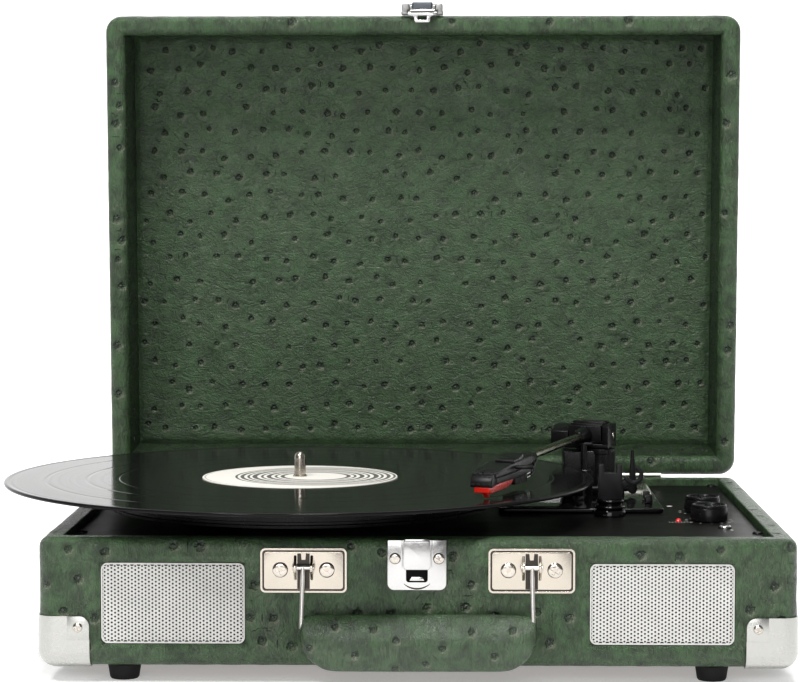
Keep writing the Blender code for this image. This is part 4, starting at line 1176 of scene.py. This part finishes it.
def cup(half, top, corner_x, corner_z, radius, steps):
    """An outline open at the top, with round lower corners, at the latch's middle."""
    return (
        [(LATCH_X - half, top)] + arc(LATCH_X - corner_x, corner_z, radius, 180, 270, steps)
        + arc(LATCH_X + corner_x, corner_z, radius, 270, 360, steps) + [(LATCH_X + half, top)])


def strip(left, right, low, high, top_in=0.0):
    """Four corners beside the latch's middle; the upper edge is shorter by top_in at each end."""
    return [
        (LATCH_X + left, low), (LATCH_X + right, low), (LATCH_X + right - top_in, high),
        (LATCH_X + left + top_in, high)]


def latch_plate():
    x = LATCH_X
    window = cup(5.1, 47.6, 3.7, 42.2, 1.4, 5)
    crescent = arc(x, 46.0, 8.6, 225, 315, 12) + arc(x, 48.2, 10.0, 308, 232, 12)
    plate = carve(
        fill(cup(13.8, 60.7, 10.6, 40.2, 3.2, 8), 0.4, 1.7, 0.35, 3),
        [fill(window, 0.9, 3), fill(crescent, 1.35, 3)])
    # A black sheet at the bottom of the window: painted shade.
    floor = inked(fill(window, 0.86, 0.92), 1)
    # Dark metal at the bottom of the crescent groove: painted shade.
    groove = inked(fill(crescent, 1.30, 1.38), 2)
    lip = fill(strip(-3.5, 3.5, 41.5, 43.3, 1.0), 0.9, 1.3, 0.12)
    rails = [fill(strip(a, b, 47.4, 60.7), 1.5, 2.1, 0.2) for a, b in ((-7.3, -6.7), (6.7, 7.3))]
    pins = inked(screws([(x - 10.2, 52, 1.65), (x + 10.2, 52, 1.65)], 2.7, 1.15), 3)
    return moved(merge(plate, floor, groove, lip, *rails, pins), XZ)


place(
    "pressed_latch_plate", latch_plate(), [CHROME, CLOTH, DARK_METAL, SCREW_METAL], "case",
    hides=["latch_plate"], crease=40)


def latch_tab():
    face = fill(cup(6.3, 60.6, 4.6, 48.6, 1.7, 6), 2.6, 4.3, 0.45, 4)
    fold = fill(strip(-5.9, 5.9, 59.4, 61.3), 1.9, 3.7, 0.35)
    stem = fill(strip(-4.3, 4.3, 50.8, 54.6), 1.8, 3)
    return moved(merge(face, fold, stem), XZ)


place("sliding_latch_tab", latch_tab(), CHROME, "latch_catch", hides=["latch_catch"], crease=40)


# ---------------------------------------------------------------- lid latch and hinges

def lid_latch():
    """The lid's half: a flanged plate with two raised ears, and a rolled spring plate between them."""
    front, x = -LID_FRONT + 0.3, LATCH_X
    over = turn(180, "X")
    plate = fill(rounded(x - 11.5, x + 11.5, 4.0, 19, 1.6), front, front + 1.0, 0.3)
    rivets = inked(screws([(x - 8.7, 14.5, front + 0.9), (x + 8.7, 14.5, front + 0.9)], 1.9, 0.8), 1)
    ears, knuckles = [], []
    for sign in (-1, 1):
        spans = [sorted((x + sign * a, x + sign * b)) for a, b in ((7.2, 11.4), (8.0, 11.8), (5.5, 7.2))]
        ear = rounded(*spans[0], front + 1.9, front + 6.5, 1.1)
        ears.append(moved(fill(ear, -8.4, -0.5, 0.5, 4), over))
        ears.append(block((spans[1][0], -front - 2.4, 0.6), (spans[1][1], -front - 0.2, 6.0), 0.5))
        knuckles.append(moved(pin(2.1, *spans[2], 0.35, 32), shift(0, -front - 4.3, 1.4)))
    sheet = rounded(x - 5.7, x + 5.7, front + 3.3, front + 7.4, 0.8)
    roll = inked(moved(fill(sheet, -8.0, -0.4, 0.9, 5), over), 2)
    tail = block((x - 5.2, -front - 4.0, 7.0), (x + 5.2, -front - 0.4, 15.5), 1.2, 4)
    return merge(moved(merge(plate, rivets), XZ), *ears, *knuckles, roll, tail)


# The lid's latch is the darker copy of the plate metal, a painted shade.
place(
    "lid_latch", lid_latch(), [SHADED_EAR_METAL, SCREW_METAL, BLUE_METAL], "lid", LID, ["lid_latch_plate"],
    40)


def hasp_tongue():
    """A cross bar on its pin, and a tongue with sloped shoulders and a rectangular eye."""
    shoulder = [(4.5, -3.8), (5.2, -3.1), (8.2, -2.3), (8.2, -1.3)]
    outline = arc(-3.4, -5.7, 0.9, 180, 270, 5) + arc(3.4, -5.7, 0.9, 270, 360, 5)
    outline += shoulder + flipped(shoulder)
    tongue = slab([outline, rounded(-2.6, 2.6, -5.3, -2.7, 0.5, 4)], 0.0, 0.95, 0.22, 3)
    bar = pin(0.95, -7.0, 7.0, 0.25, 32)
    axle = inked(pin(0.6, -8.6, 8.6, 0.15, 20), 1)
    web = inked(block((-6.4, -0.9, -1.8), (6.4, -0.1, -0.2), 0.2, 2), 1)
    return merge(moved(tongue, XZ), bar, axle, web)


place("rolled_hasp", hasp_tongue(), [CHROME, DARK_METAL], "hasp", HASP, ["lid_hasp"], 40)


OUTWARD = turn(-90, "X")
for side, x in (("left", CASE_W - 314), ("right", 284)):
    for part, y, z, where, body in (
            ("base", CASE_D + 0.8, 53, CASE, "case"), ("lid", LID_REAR + 0.8, 10, LID, "lid")):
        row = screws([(x + dx, y, z) for dx in (5, 15, 25)], 2.2, 0.7, OUTWARD, spin=30, step=47)
        place(f"hinge_{part}_{side}_screws", row, SCREW_METAL, body, where)


# ---------------------------------------------------------------- turntable

RECORD_TOP = 77.2
RECORD_R = 150.4
LABEL_R = 50.0
PLATTER_TOP = 72.9
PLATTER_R = 98.0
BORE = 3.9

profile = [(BORE, PLATTER_TOP), (PLATTER_R - 2.6, PLATTER_TOP)]
profile += arc(PLATTER_R - 1.4, PLATTER_TOP - 1.4, 1.4, 90, 0, 6)
profile += [
    (PLATTER_R + dr, z) for dr,
    z in ((0, 66.4), (-0.7, 66.0), (-0.7, 64.8), (0, 64.4), (0, 63.2), (-2, 63), (-2, 69.9))]
profile += [(62, 69.9), (62, 60), (60, 60), (60, 69.9), (10, 69.9), (10, 61), (BORE, 61)]
place("moulded_platter", lathe(profile, 160), BLACK, "turntable", SPIN, ["platter"])

mat_rings = [(BORE, 74.9)]
for r in range(54, 95, 4):
    mat_rings += [(r - 0.6, 74.9), (r - 0.2, 74.5), (r + 0.2, 74.5), (r + 0.6, 74.9)]
place(
    "ribbed_mat",
    lathe(mat_rings + arc(95.6, 74.5, 0.4, 90, 0, 3) + [(96, 73.6), (95.8, 73.5), (BORE, 73.5)], 128), RUBBER,
    "turntable", SPIN, ["platter_mat"])

# The record's top: raised rings part its bands; the points are (radius, depth under the top).
GAP_STEPS = (
    (-1.4, 0.2), (-1.0, 0.2), (-0.8, 0.26), (-0.4, 0.26), (0.4, 0.26), (0.8, 0.26), (1.0, 0.2), (1.4, 0.2))
face = [
    (BORE, 0.55), (LABEL_R + 0.2, 0.55), (LABEL_R + 0.7, 0.3), (LABEL_R + 2.0, 0.26), (57.6, 0.26),
    (58, 0.26), (58.6, 0.2), (59.2, 0.2)]
for gap in (74.5, 93.0, 108.5, 129.0):
    face += [(gap + step, deep) for step, deep in GAP_STEPS]
face += [
    (RECORD_R - inset, deep) for inset,
    deep in ((4.8, 0.2), (4.2, 0.2), (3.6, 0.27), (2.6, 0.22), (1.6, 0.02))]
profile = [(r, RECORD_TOP - deep) for r, deep in face]
profile += arc(RECORD_R - 0.95, RECORD_TOP - 0.95, 0.95, 80, -80, 10)
profile += [(RECORD_R - 3, RECORD_TOP - 1.85), (LABEL_R, RECORD_TOP - 1.85), (BORE, RECORD_TOP - 1.9)]
place("grooved_record", lathe(profile, 256), VINYL, "turntable", SPIN, ["record"], 50)
place(
    "printed_label",
    lathe(
        [
            (3.7, RECORD_TOP - 0.05), (LABEL_R - 0.15, RECORD_TOP - 0.05), (LABEL_R, RECORD_TOP - 0.2),
            (LABEL_R, RECORD_TOP - 0.5), (3.7, RECORD_TOP - 0.5)],
        160),
    LABEL, "turntable", SPIN, ["record_label"])

tip = [(0, 90.0), (0.9, 89.9), (1.8, 89.4), (2.5, 88.6), (2.85, 87.6), (2.95, 86.4)]
place(
    "turned_spindle", lathe(tip + [(2.95, 78.2), (3.55, 77.6), (3.55, 36.4), (0, 36.4)], 48), NICKEL,
    "turntable", SPIN, ["spindle"], 25)


# ---------------------------------------------------------------- tonearm support

ARM_PLATE_TOP = DECK_Z + 2.7

arm_low, arm_high = local_box("arm_base")
lift_x, lift_y = ARM_AXIS.x - 17 * sin(radians(10)), ARM_AXIS.y - 17 * cos(radians(10))
CUE = axis_point("cue_lever_hinge")


def arm_plate():
    """The glossy moulded plate with the lift's guide and the lever's bracket standing on it."""
    base = slab(
        [rounded(arm_low.x, arm_high.x, arm_low.y, arm_high.y, 3.2, 8)], DECK_Z + 0.3, ARM_PLATE_TOP, 0.7, 4)
    guide = block((lift_x - 4, lift_y - 3.6, ARM_PLATE_TOP - 0.6), (lift_x + 4.4, lift_y + 3.6, 74), 0.7)
    bracket = block((CUE.x - 7.5, CUE.y - 3, ARM_PLATE_TOP - 0.6), (CUE.x - 3.4, CUE.y + 3, 66.4), 0.5)
    ledge = slab(
        [rounded(arm_low.x + 4, arm_low.x + 40, arm_low.y + 4, arm_low.y + 60, 2.5)], ARM_PLATE_TOP - 0.1,
        ARM_PLATE_TOP + 0.35, 0.3)
    return merge(base, guide, bracket, ledge)


place("moulded_arm_base", arm_plate(), GLOSS, "case", hides=["arm_base"])


def tower():
    """Pivot tower with a turned barrel at its front corner and a thin lip."""
    low, high = local_box("pivot_tower")
    body = block(low, (high.x, high.y, high.z - 0.8), 1.0, 4)
    seam = block((low.x + 1.2, low.y - 0.25, low.z + 2), (low.x + 1.8, low.y + 0.6, high.z - 3), 0.12, 2)
    profile = [
        (0, high.z), (7.2, high.z), (7.5, high.z - 0.3), (7.5, high.z - 2.4), (7.2, high.z - 2.8),
        (7.2, low.z), (0, low.z)]
    barrel = moved(lathe(profile, 56), shift(high.x - 7.4, low.y + 6.2))
    collar = moved(drum(6.4, high.z - 0.4, high.z + 0.2, 0.2, 40), shift(ARM_AXIS.x, ARM_AXIS.y))
    return merge(body, seam, barrel, collar)


place("ribbed_pivot_tower", tower(), SATIN, "case", hides=["pivot_tower"])

REST = Vector((275.5, 116.0, 0))


def rest_foot():
    """Turned foot with two glossy beads."""
    profile = [(0, 66.2), (5.6, 66.2), (6.3, 65.9)] + arc(6.3, 64.9, 0.9, 70, -70, 8)
    profile += [(6.1, 63.7), (6.1, 62.9)] + arc(6.7, 61.8, 1.0, 100, -70, 8)
    profile += [(6.6, 60.6), (7.6, 60.2), (8.1, 59.4), (8.1, DECK_Z + 0.3), (0, DECK_Z + 0.3)]
    return moved(lathe(profile, 48), shift(REST.x, REST.y))


def rest_post():
    """Upright with a notch for the tube, and the pin of the clip."""
    x = REST.x
    half = [(6.1, 65), (6.0, 83.6), (3.3, 83.6), (3.1, 79.4)]
    outline = [(x + dx, z) for dx, z in [(-6.1, 65)] + half + flipped(half[1:])]
    post = moved(fill(outline, -REST.y - 2.6, -REST.y + 2.6, 0.35, 3), XZ)
    stud = moved(drum(1.1, -9, 0, 0.2, 24), turn(90, "X"), shift(CLIP.x, CLIP.y - 5, CLIP.z))
    return merge(post, stud)


CLIP = axis_point("rest_clip_hinge")
rest = merge(inked(rest_foot(), 0), inked(rest_post(), 1))
place("arm_rest_post", rest, [GLOSS, GREY], "case", hides=["arm_rest"])


def rest_clip():
    """C-shaped clip with its boss and a small finger at the opening."""
    hx, hz = CLIP.x + 8.3, CLIP.z + 6.6
    hook = arc(hx, hz, 5.1, -165, 62, 26) + arc(hx + 1.9, hz + 3.6, 1.0, 62, 240, 5)[1:-1]
    hook += arc(hx, hz, 3.0, 62, -165, 24)
    ring = fill(hook, -2, 2, 0.4, 3)
    neck = fill(
        [
            (CLIP.x + 1.0, CLIP.z - 1.0), (CLIP.x + 2.6, CLIP.z - 1.6), (hx - 0.6, hz - 4.6),
            (hx - 3.9, hz - 1.8), (CLIP.x - 0.4, CLIP.z + 2.0)],
        -1.8, 1.8, 0.4, 3)
    boss = moved(drum(2.8, -2, 2, 0.4, 32), shift(CLIP.x, CLIP.z))
    return moved(merge(ring, neck, boss), XZ, shift(0, CLIP.y))


place("rest_clip_hook", rest_clip(), GREY, "rest_clip", hides=["rest_clip"])


def cue_lever():
    """Shaft and a tapered blade that ends in a blunt point."""
    edge = [(1.95, 4), (1.25, 14), (0.75, 20.4), (0.35, 21.3)]
    blade = fill(arc(0, 0, 2.6, 180, 360, 10) + edge + flipped(edge), -1.7, 1.7, 0.35, 3)
    shaft = pin(1.5, -27, 1, 0.3, 28)
    return moved(merge(moved(blade, XZ), shaft), Matrix.Translation(CUE), shift(1.1))


place("tapered_cue_lever", cue_lever(), BLACK, "cue_lever", hides=["cue_lever"])


def lift_bar():
    bar = fill(arc(0, 0, 18.2, -84, -137, 24) + arc(0, 0, 15.8, -137, -84, 24), 86.6, 88.4, 0.5, 4)
    post = moved(drum(1.6, 65.2, 87.4, 0.2, 28), shift(lift_x - ARM_AXIS.x, lift_y - ARM_AXIS.y))
    return moved(merge(bar, post), shift(ARM_AXIS.x, ARM_AXIS.y))


place("curved_lift_bar", lift_bar(), SATIN, "lift_platform", hides=["lift_platform"])


# ---------------------------------------------------------------- tonearm (it points along -y of ARM)

def yoke():
    """Turning carriage: a sloped left shoulder and a right cheek with its pivot screw."""
    floor = block((-18.6, -8, 84.3), (13.6, 9, 86.8), 0.5)
    shoulder = moved(fill([(-8, 86.0), (9, 86.0), (9, 96.2), (1, 96.4), (-8, 93.4)], -18.6, -8.6, 0.7, 4), YZ)
    cheek = moved(fill([(-8, 86.0), (9, 86.0), (9, 97.2), (-6.5, 97.2), (-8, 95.8)], 10.2, 13.6, 0.5, 4), YZ)
    pivot = moved(screw(1.7, 0.6, 33), turn(90, "Y"), shift(13.5, 3, 91))
    shaft = drum(4.0, 70, 85, 0.2, 40)
    return merge(floor, shoulder, cheek, shaft, inked(pivot, 1))


place("arm_carriage", yoke(), [BLACK, SCREW_METAL], "arm_pivot", ARM, ["arm_yoke"])


def head():
    """Stepped head with a tapered collar for the tube, the trunnions and the balance weight."""
    steps = [
        (-8.6, 88.2), (14, 88.2), (14, 96.8), (9.5, 96.8), (9.5, 97.7), (5.2, 97.7), (5.2, 98.5),
        (-0.6, 98.5), (-0.6, 97.6), (-4.6, 97.6), (-4.6, 96.6), (-8.6, 96.6)]
    body = moved(fill(steps, -8.2, 9.8, 0.45, 3), YZ)
    collar = moved(
        lathe([(0, 12.6), (2.7, 12.6), (3.1, 12.2), (4.6, 3.0), (5.0, 0.4), (5.0, -3), (0, -3)], 40), XZ,
        shift(0, -8.2, 91.2))
    pins = moved(pin(1.2, -12, 13.2, 0.2, 24), shift(0, 3, 91))
    weight = block((-7.2, 12, 88.4), (3.6, 22, 96), 1.2, 4)
    ribs = [block((-7.4, 14.0 + 2.3 * i, 88.2), (3.8, 15.0 + 2.3 * i, 96.2), 0.35, 2) for i in range(3)]
    return merge(body, collar, pins, weight, *ribs)


place("stepped_arm_head", head(), BLACK, "tonearm", ARM, ["arm_head"])
path = [(0, -3, 91.5), (0.1, -20, 91.3), (0.6, -60, 90.9), (1.5, -124, 90.1), (1.5, -126, 90.1)]
place("drawn_arm_tube", tube(path, 2.1, 40), ARM_METAL, "tonearm", ARM, ["arm_tube"])


def lofted(sections, steps=8):
    """A closed skin over cross sections given as (y, half width, low z, high z, corner radius)."""
    verts = [
        (x, y, z) for y, half, low, high, r in sections for x,
        z in rounded(-half, half, low, high, min(r, half * 0.9, (high - low) * 0.45), steps)]
    return solid(verts, tunnel(len(verts) // len(sections), len(sections)))


def headshell():
    """Slim shell that widens to the front, where it ends in a ribbed, stepped block."""
    shell = lofted(
        [
            (-111, 3.4, 87.2, 92.1, 1.6), (-114, 4.2, 86.8, 92.5, 1.8), (-124, 5.0, 86.5, 92.3, 1.8),
            (-146, 6.6, 86.4, 92.4, 1.6), (-164, 7.0, 86.4, 91.6, 1.4), (-178, 6.7, 86.4, 90.4, 1.2),
            (-184, 6.2, 86.4, 89.6, 1.0), (-186, 5.8, 86.5, 89.0, 0.8)])
    nose = [(-182, 83.4), (-189.6, 82.6), (-191.2, 83.2), (-190.6, 86.2), (-188.2, 88.6), (-182, 89.2)]
    front = moved(fill(nose, -5.4, 5.4, 0.4, 3), YZ)
    ribs = []
    for i in range(4):
        for x in (-3.9, -1.3, 1.3, 3.9):
            y, z = -190.9 + 0.95 * i, 84.2 + 1.5 * i
            ribs.append(
                inked(block((x - 0.95, y - 0.5, z - 0.45), (x + 0.95, y + 1.0, z + 0.45), 0.18, 2), 1))
    wedge = [(-161, 92.9), (-152, 93.3), (-145.5, 94.8), (-144.6, 94.6), (-145.6, 91.6), (-161, 91.4)]
    lift = moved(fill(wedge, -2.6, 6.9, 0.5, 3), YZ)
    tab = [(6.2, -158.5), (12.5, -157.6), (15.2, -155.6), (15.2, -153.4), (12.5, -152.2), (6.2, -151.4)]
    finger = fill(tab, 88.5, 89.9, 0.5, 3)
    bright = inked(block((-1.1, -185.3, 88.5), (-0.7, -180.5, 90.5), 0.12, 2), 1)
    return moved(merge(shell, front, lift, finger, bright, *ribs), shift(SHELL_RIGHT, 0, 0.5))


place("ribbed_headshell", headshell(), [BLACK, GREY], "tonearm", ARM, ["headshell"])


def cartridge():
    """Cartridge body under the shell, its four bright pins and the covered leads behind."""
    rail = lofted(
        [
            (-184, 4.0, 83.2, 86.4, 0.8), (-160, 4.4, 82.9, 86.6, 0.8), (-140, 4.2, 82.6, 86.6, 0.8),
            (-122, 3.6, 83.2, 86.8, 0.8)])
    body = lofted(
        [
            (-147.6, 2.6, 80.2, 83.6, 0.5), (-146.6, 3.4, 79.5, 84, 0.5), (-128, 3.4, 79.2, 84.2, 0.5),
            (-127, 3.2, 79.5, 84.0, 0.4)])
    pins, leads = [], []
    for x in (-1.8, 1.8):
        for z in (80.4, 82.2):
            path = [(x, -128, z), (x, -121, z + 0.1), (x * 1.1, -116.5, z + 0.7)]
            pins.append(inked(tube(path, [0.45, 0.45, 0.4], 14), 1))
            path = [
                (x * 1.1, -117.5, z + 0.55), (x * 1.1, -113, z + 2.4),
                (x * 0.9, -109, 86.4 + (z - 80.4) * 0.5), (x * 0.6, -106, 88.6)]
            leads.append(tube(path, [0.75, 0.7, 0.6, 0.5], 14))
    return moved(merge(rail, body, *pins, *leads), shift(SHELL_RIGHT, 0, 0.4))


place("cartridge_and_pins", cartridge(), [BLACK, CHROME], "tonearm", ARM, ["cartridge"])


def stylus():
    """Red wedge with a sloped underside, a notch above and the pointed tip below."""
    side = [
        (-150.6, 83.6), (-154.5, 81.2), (-162, 80.2), (-178, 79.9), (-185.5, 79.9), (-189.2, 80.5),
        (-189.8, 83.4), (-184, 83.3), (-170, 83.6)]
    wedge = moved(fill(side, -3.9, 3.9, 0.5, 3), YZ)
    point = [
        (-178.4, 80.3), (-185.4, 80.3), (-183.0, RECORD_TOP + 1.2), (-182.4, RECORD_TOP + 0.35),
        (-181.6, RECORD_TOP + 0.35), (-181.0, RECORD_TOP + 1.2)]
    return moved(merge(wedge, moved(fill(point, -1.3, 1.3, 0.25, 2), YZ)), shift(SHELL_RIGHT))


place("red_stylus", stylus(), RED, "tonearm", ARM, ["stylus"])


# ---------------------------------------------------------------- controls on the deck

def knob(joint):
    """Knob with a rounded rim, a slightly sunk top and a low pointed rib across it."""
    centre = axis_point(joint)
    r, high = 9.2, 8.4
    body = lathe(
        [
            (0, high - 1.0), (r - 2.2, high - 1.0), (r - 1.7, high - 0.8), (r - 1.4, high - 0.2)
        ] + arc(r - 0.95, high - 0.55, 0.55, 150, 10, 6) + [
            (r - 0.2, high - 1.4), (r - 0.3, high - 1.7), (r - 0.05, high - 2.1), (r + 0.2, 1.2),
            (r + 0.1, 0.5), (2.8, 0.5), (2.8, -8), (0, -8)],
        96)
    outline = [
        (0, -r + 0.4), (1.2, -r + 2.0), (1.2, r - 2.0), (0, r - 0.4), (-1.2, r - 2.0), (-1.2, -r + 2.0)]
    rib = fill(outline, high - 1.4, high + 0.1, 0.3, 3)
    return moved(merge(body, rib), shift(centre.x, centre.y, DECK_Z))


for name in ("volume", "pitch"):
    place(
        f"ribbed_{name}_knob", knob(f"{name}_turn"), SATIN, f"{name}_knob",
        hides=[f"{name}_knob"])


def switch(node):
    """Slide switch button with finger grooves on its slope."""
    half = [(2.4, 0.3), (2.3, 2.2), (1.6, 4.2), (1.0, 4.2), (0.7, 3.8), (0.3, 4.1)]
    side = [(-2.4, 0.3)] + half + flipped(half[1:])
    outline = [(x, ARM_PLATE_TOP + z) for x, z in side]
    return moved(fill(outline, -1.8, 1.8, 0.2, 2), YZ, shift(*middle(node).xy))


for name in ("speed_switch", "autostop_switch"):
    place(f"grooved_{name}", switch(name), BLACK, name, hides=[name])

lens = lathe([(0, 1.35), (0.5, 1.3), (1.0, 1.0), (1.35, 0.5), (1.45, 0), (1.5, -7), (0, -7)], 32)
place(
    "led_lens", moved(lens, shift(*middle("power_led").xy, DECK_Z)), LAMP, "case",
    hides=["power_led"])

collar = lathe(
    [
        (1.75, 1.0), (2.1, 1.3), (2.7, 1.3), (3.0, 1.1), (3.2, 0.7), (3.2, 0.3), (2.9, 0.3), (2.9, -12),
        (1.75, -12)],
    40)
well = inked(lathe([(0, -9.5), (1.74, -9.5), (1.74, -11), (0, -11)], 24), 1)
place(
    "jack_collar", moved(merge(collar, well), shift(*middle("headphone_jack").xy, DECK_Z)), [CHROME, CLOTH],
    "case", hides=["headphone_jack"])

place(
    "deck_screws",
    moved(
        screws([(343, 50), (13.9, 49), (341, 245), (14.5, 245)], 2.7, 1.2, spin=25, step=31), shift(z=DECK_Z)
    ),
    SATIN, "case")


def dial_marks():
    """Generic printed marks: short ticks round the knobs, a dot by the lamp, a disc and a row of dashes."""
    marks = []
    for joint in ("volume_turn", "pitch_turn"):
        centre = axis_point(joint)
        for angle in range(-225, 46, 27):
            tick = block((11.0, -0.18, 0), (12.4, 0.18, 0.06))
            marks.append(moved(tick, turn(angle, "Z"), shift(centre.x, centre.y)))
    for radius, x, y in ((0.8, 331.9, 62.6), (1.5, 309.5, 155.7)):
        marks.append(moved(drum(radius, 0, 0.12, 0.02, 20), shift(x, y)))
    marks += [block((x, 91.6, 0), (x + 0.8, 92.2, 0.06)) for x in np.arange(303.5, 315.5, 1.5)]
    return moved(merge(*marks), shift(z=DECK_Z + 0.01))


place("printed_marks", dial_marks(), WHITE, "case")


# ---------------------------------------------------------------- feet, rear and underside

foot_form = [
    (0, -0.3), (7.4, -0.3), (8.0, -0.9), (7.0, -7.2), (6.4, -8.0), (2.6, -8.0), (2.4, -6.4), (0, -6.4)]
for node in sorted(NODES):
    if node.startswith("foot_"):
        place(
            f"moulded_{node}", moved(lathe(foot_form, 48), shift(*middle(node).xy)), RUBBER, "case",
            hides=[node])

PANEL_FACE = CASE_D - 1.6
panel = middle("rear_jack_panel")
for number, (dx, look) in enumerate(((-13, WHITE), (-1, RED))):
    socket = lathe([(2.2, 2.3), (4.0, 2.3), (4.3, 2.0), (4.3, 0.05), (4.15, 0.05), (2.2, 0.05)], 40)
    place(
        f"socket_ring_{number}", moved(socket, OUTWARD, shift(panel.x + dx, PANEL_FACE, panel.z)), look,
        "case")
spots = [(panel.x + dx, PANEL_FACE, panel.z) for dx in (-19, 19.4)]
place("panel_screws", screws(spots, 2.2, 0.9, OUTWARD, spin=12, step=50), SCREW_METAL, "case")
spots = [(x, y, 0.45) for y in (24, 236) for x in (60, 178, 296)]
place(
    "underside_screws", screws(spots, 3.2, 1.2, turn(180, "X"), spin=15, step=37), SCREW_METAL, "case")


# ---------------------------------------------------------------- CAD pieces that stay

HINGE_LEAVES = [f"hinge_leaf_{part}_{side}" for part in ("base", "lid") for side in ("left", "right")]
FINISHES = {
    "deck_plate": DECK, "bottom_panel": PANEL, "platter_bearing": STEEL, "motor": STEEL,
    "motor_pulley": STEEL, "drive_belt": RUBBER, "control_board": BOARD, "speaker_left": GREY,
    "speaker_right": GREY, "rear_jack_panel": BLACK, "power_inlet": STEEL,
    **{name: STEEL for name in HINGE_LEAVES}}
BEVELS = {
    "bottom_panel": 0.8, "rear_jack_panel": 0.5, "motor": 0.8, "control_board": 0.2, "deck_plate": 0.2,
    **{name: 0.25 for name in HINGE_LEAVES}}
for node, look in FINISHES.items():
    obj = NODES[node]
    obj.data.materials.clear()
    obj.data.materials.append(look)
    if node in BEVELS:
        edge = obj.modifiers.new("Bevel", "BEVEL")
        edge.width = BEVELS[node] * MM
        edge.segments = 3
        edge.limit_method = "ANGLE"
        edge.angle_limit = radians(40)


# ---------------------------------------------------------------- camera, lights, floor

# The camera's place is in the case's millimetres; the lamps and the floor are in metres
WORLD_LIGHT = 0.2
CAMERA_AT = (191.5, -1157.6, 222.4)
CAMERA_TILT = 0.05934
CAMERA_YAW = 0.01859
LENS_MM = 112.25
FLOOR_BACK = 1.9
FLOOR_BEND = 0.7
FLOOR_HALF = 6.5
# Each lamp: its place, its size and its power
LAMPS = {
    "front": ((-0.25, -2.7, 1.0), 1.5, 26), "key": ((-0.8, -1.3, 2.0), 0.45, 30),
    "top": ((0.15, -0.8, 2.1), 0.45, 34), "behind": ((0.0, 1.2, 1.9), 1.6, 22)}


def stage():
    """Pale floor that curves up behind, soft lights and the camera."""
    scene = bpy.context.scene
    look = Look("pale_floor", (0.86, 0.86, 0.855), 0.7)
    look.out(
        Base_Color=look.mix(look.noise(3.0), (0.85, 0.85, 0.845), (0.88, 0.88, 0.875)),
        Emission_Color=(1.0, 1.0, 0.995, 1.0), Emission_Strength=0.3)
    start = FLOOR_BACK - FLOOR_BEND
    curve = [
        (start + FLOOR_BEND * sin(a), FLOOR_BEND - FLOOR_BEND * cos(a)) for a in np.linspace(0.15, pi / 2, 10)
    ]
    profile = [(-FLOOR_HALF, 0.0), (start, 0.0), *curve, (FLOOR_BACK, 3.2)]
    verts = [(x, y, z) for y, z in profile for x in (-FLOOR_HALF, FLOOR_HALF)]
    faces = [(2 * i, 2 * i + 1, 2 * i + 3, 2 * i + 2) for i in range(len(profile) - 1)]
    data = mesh(verts, faces)
    data.materials.append(look.material)
    data.shade_smooth()
    linked("floor", data)

    world = bpy.data.worlds.new("studio")
    scene.world = world
    world.use_nodes = True
    sky = world.node_tree.nodes["Background"].inputs
    sky["Color"].default_value = (1, 1, 1, 1)
    sky["Strength"].default_value = WORLD_LIGHT

    for name, (where, size, power) in LAMPS.items():
        lamp = bpy.data.lights.new(name, "AREA")
        lamp.size = size
        lamp.energy = power
        holder = linked(name, lamp)
        holder.location = where
        holder.rotation_euler = (Vector((0, 0, 0.12)) - Vector(where)).to_track_quat("-Z", "Y").to_euler()

    lens = bpy.data.cameras.new("camera")
    lens.sensor_width = 36
    lens.lens = LENS_MM
    camera = linked("camera", lens)
    camera.location = CASE @ Vector(CAMERA_AT)
    camera.rotation_euler = (pi / 2 - CAMERA_TILT, 0, CAMERA_YAW)
    scene.camera = camera
    scene.view_settings.view_transform = "Standard"


stage()
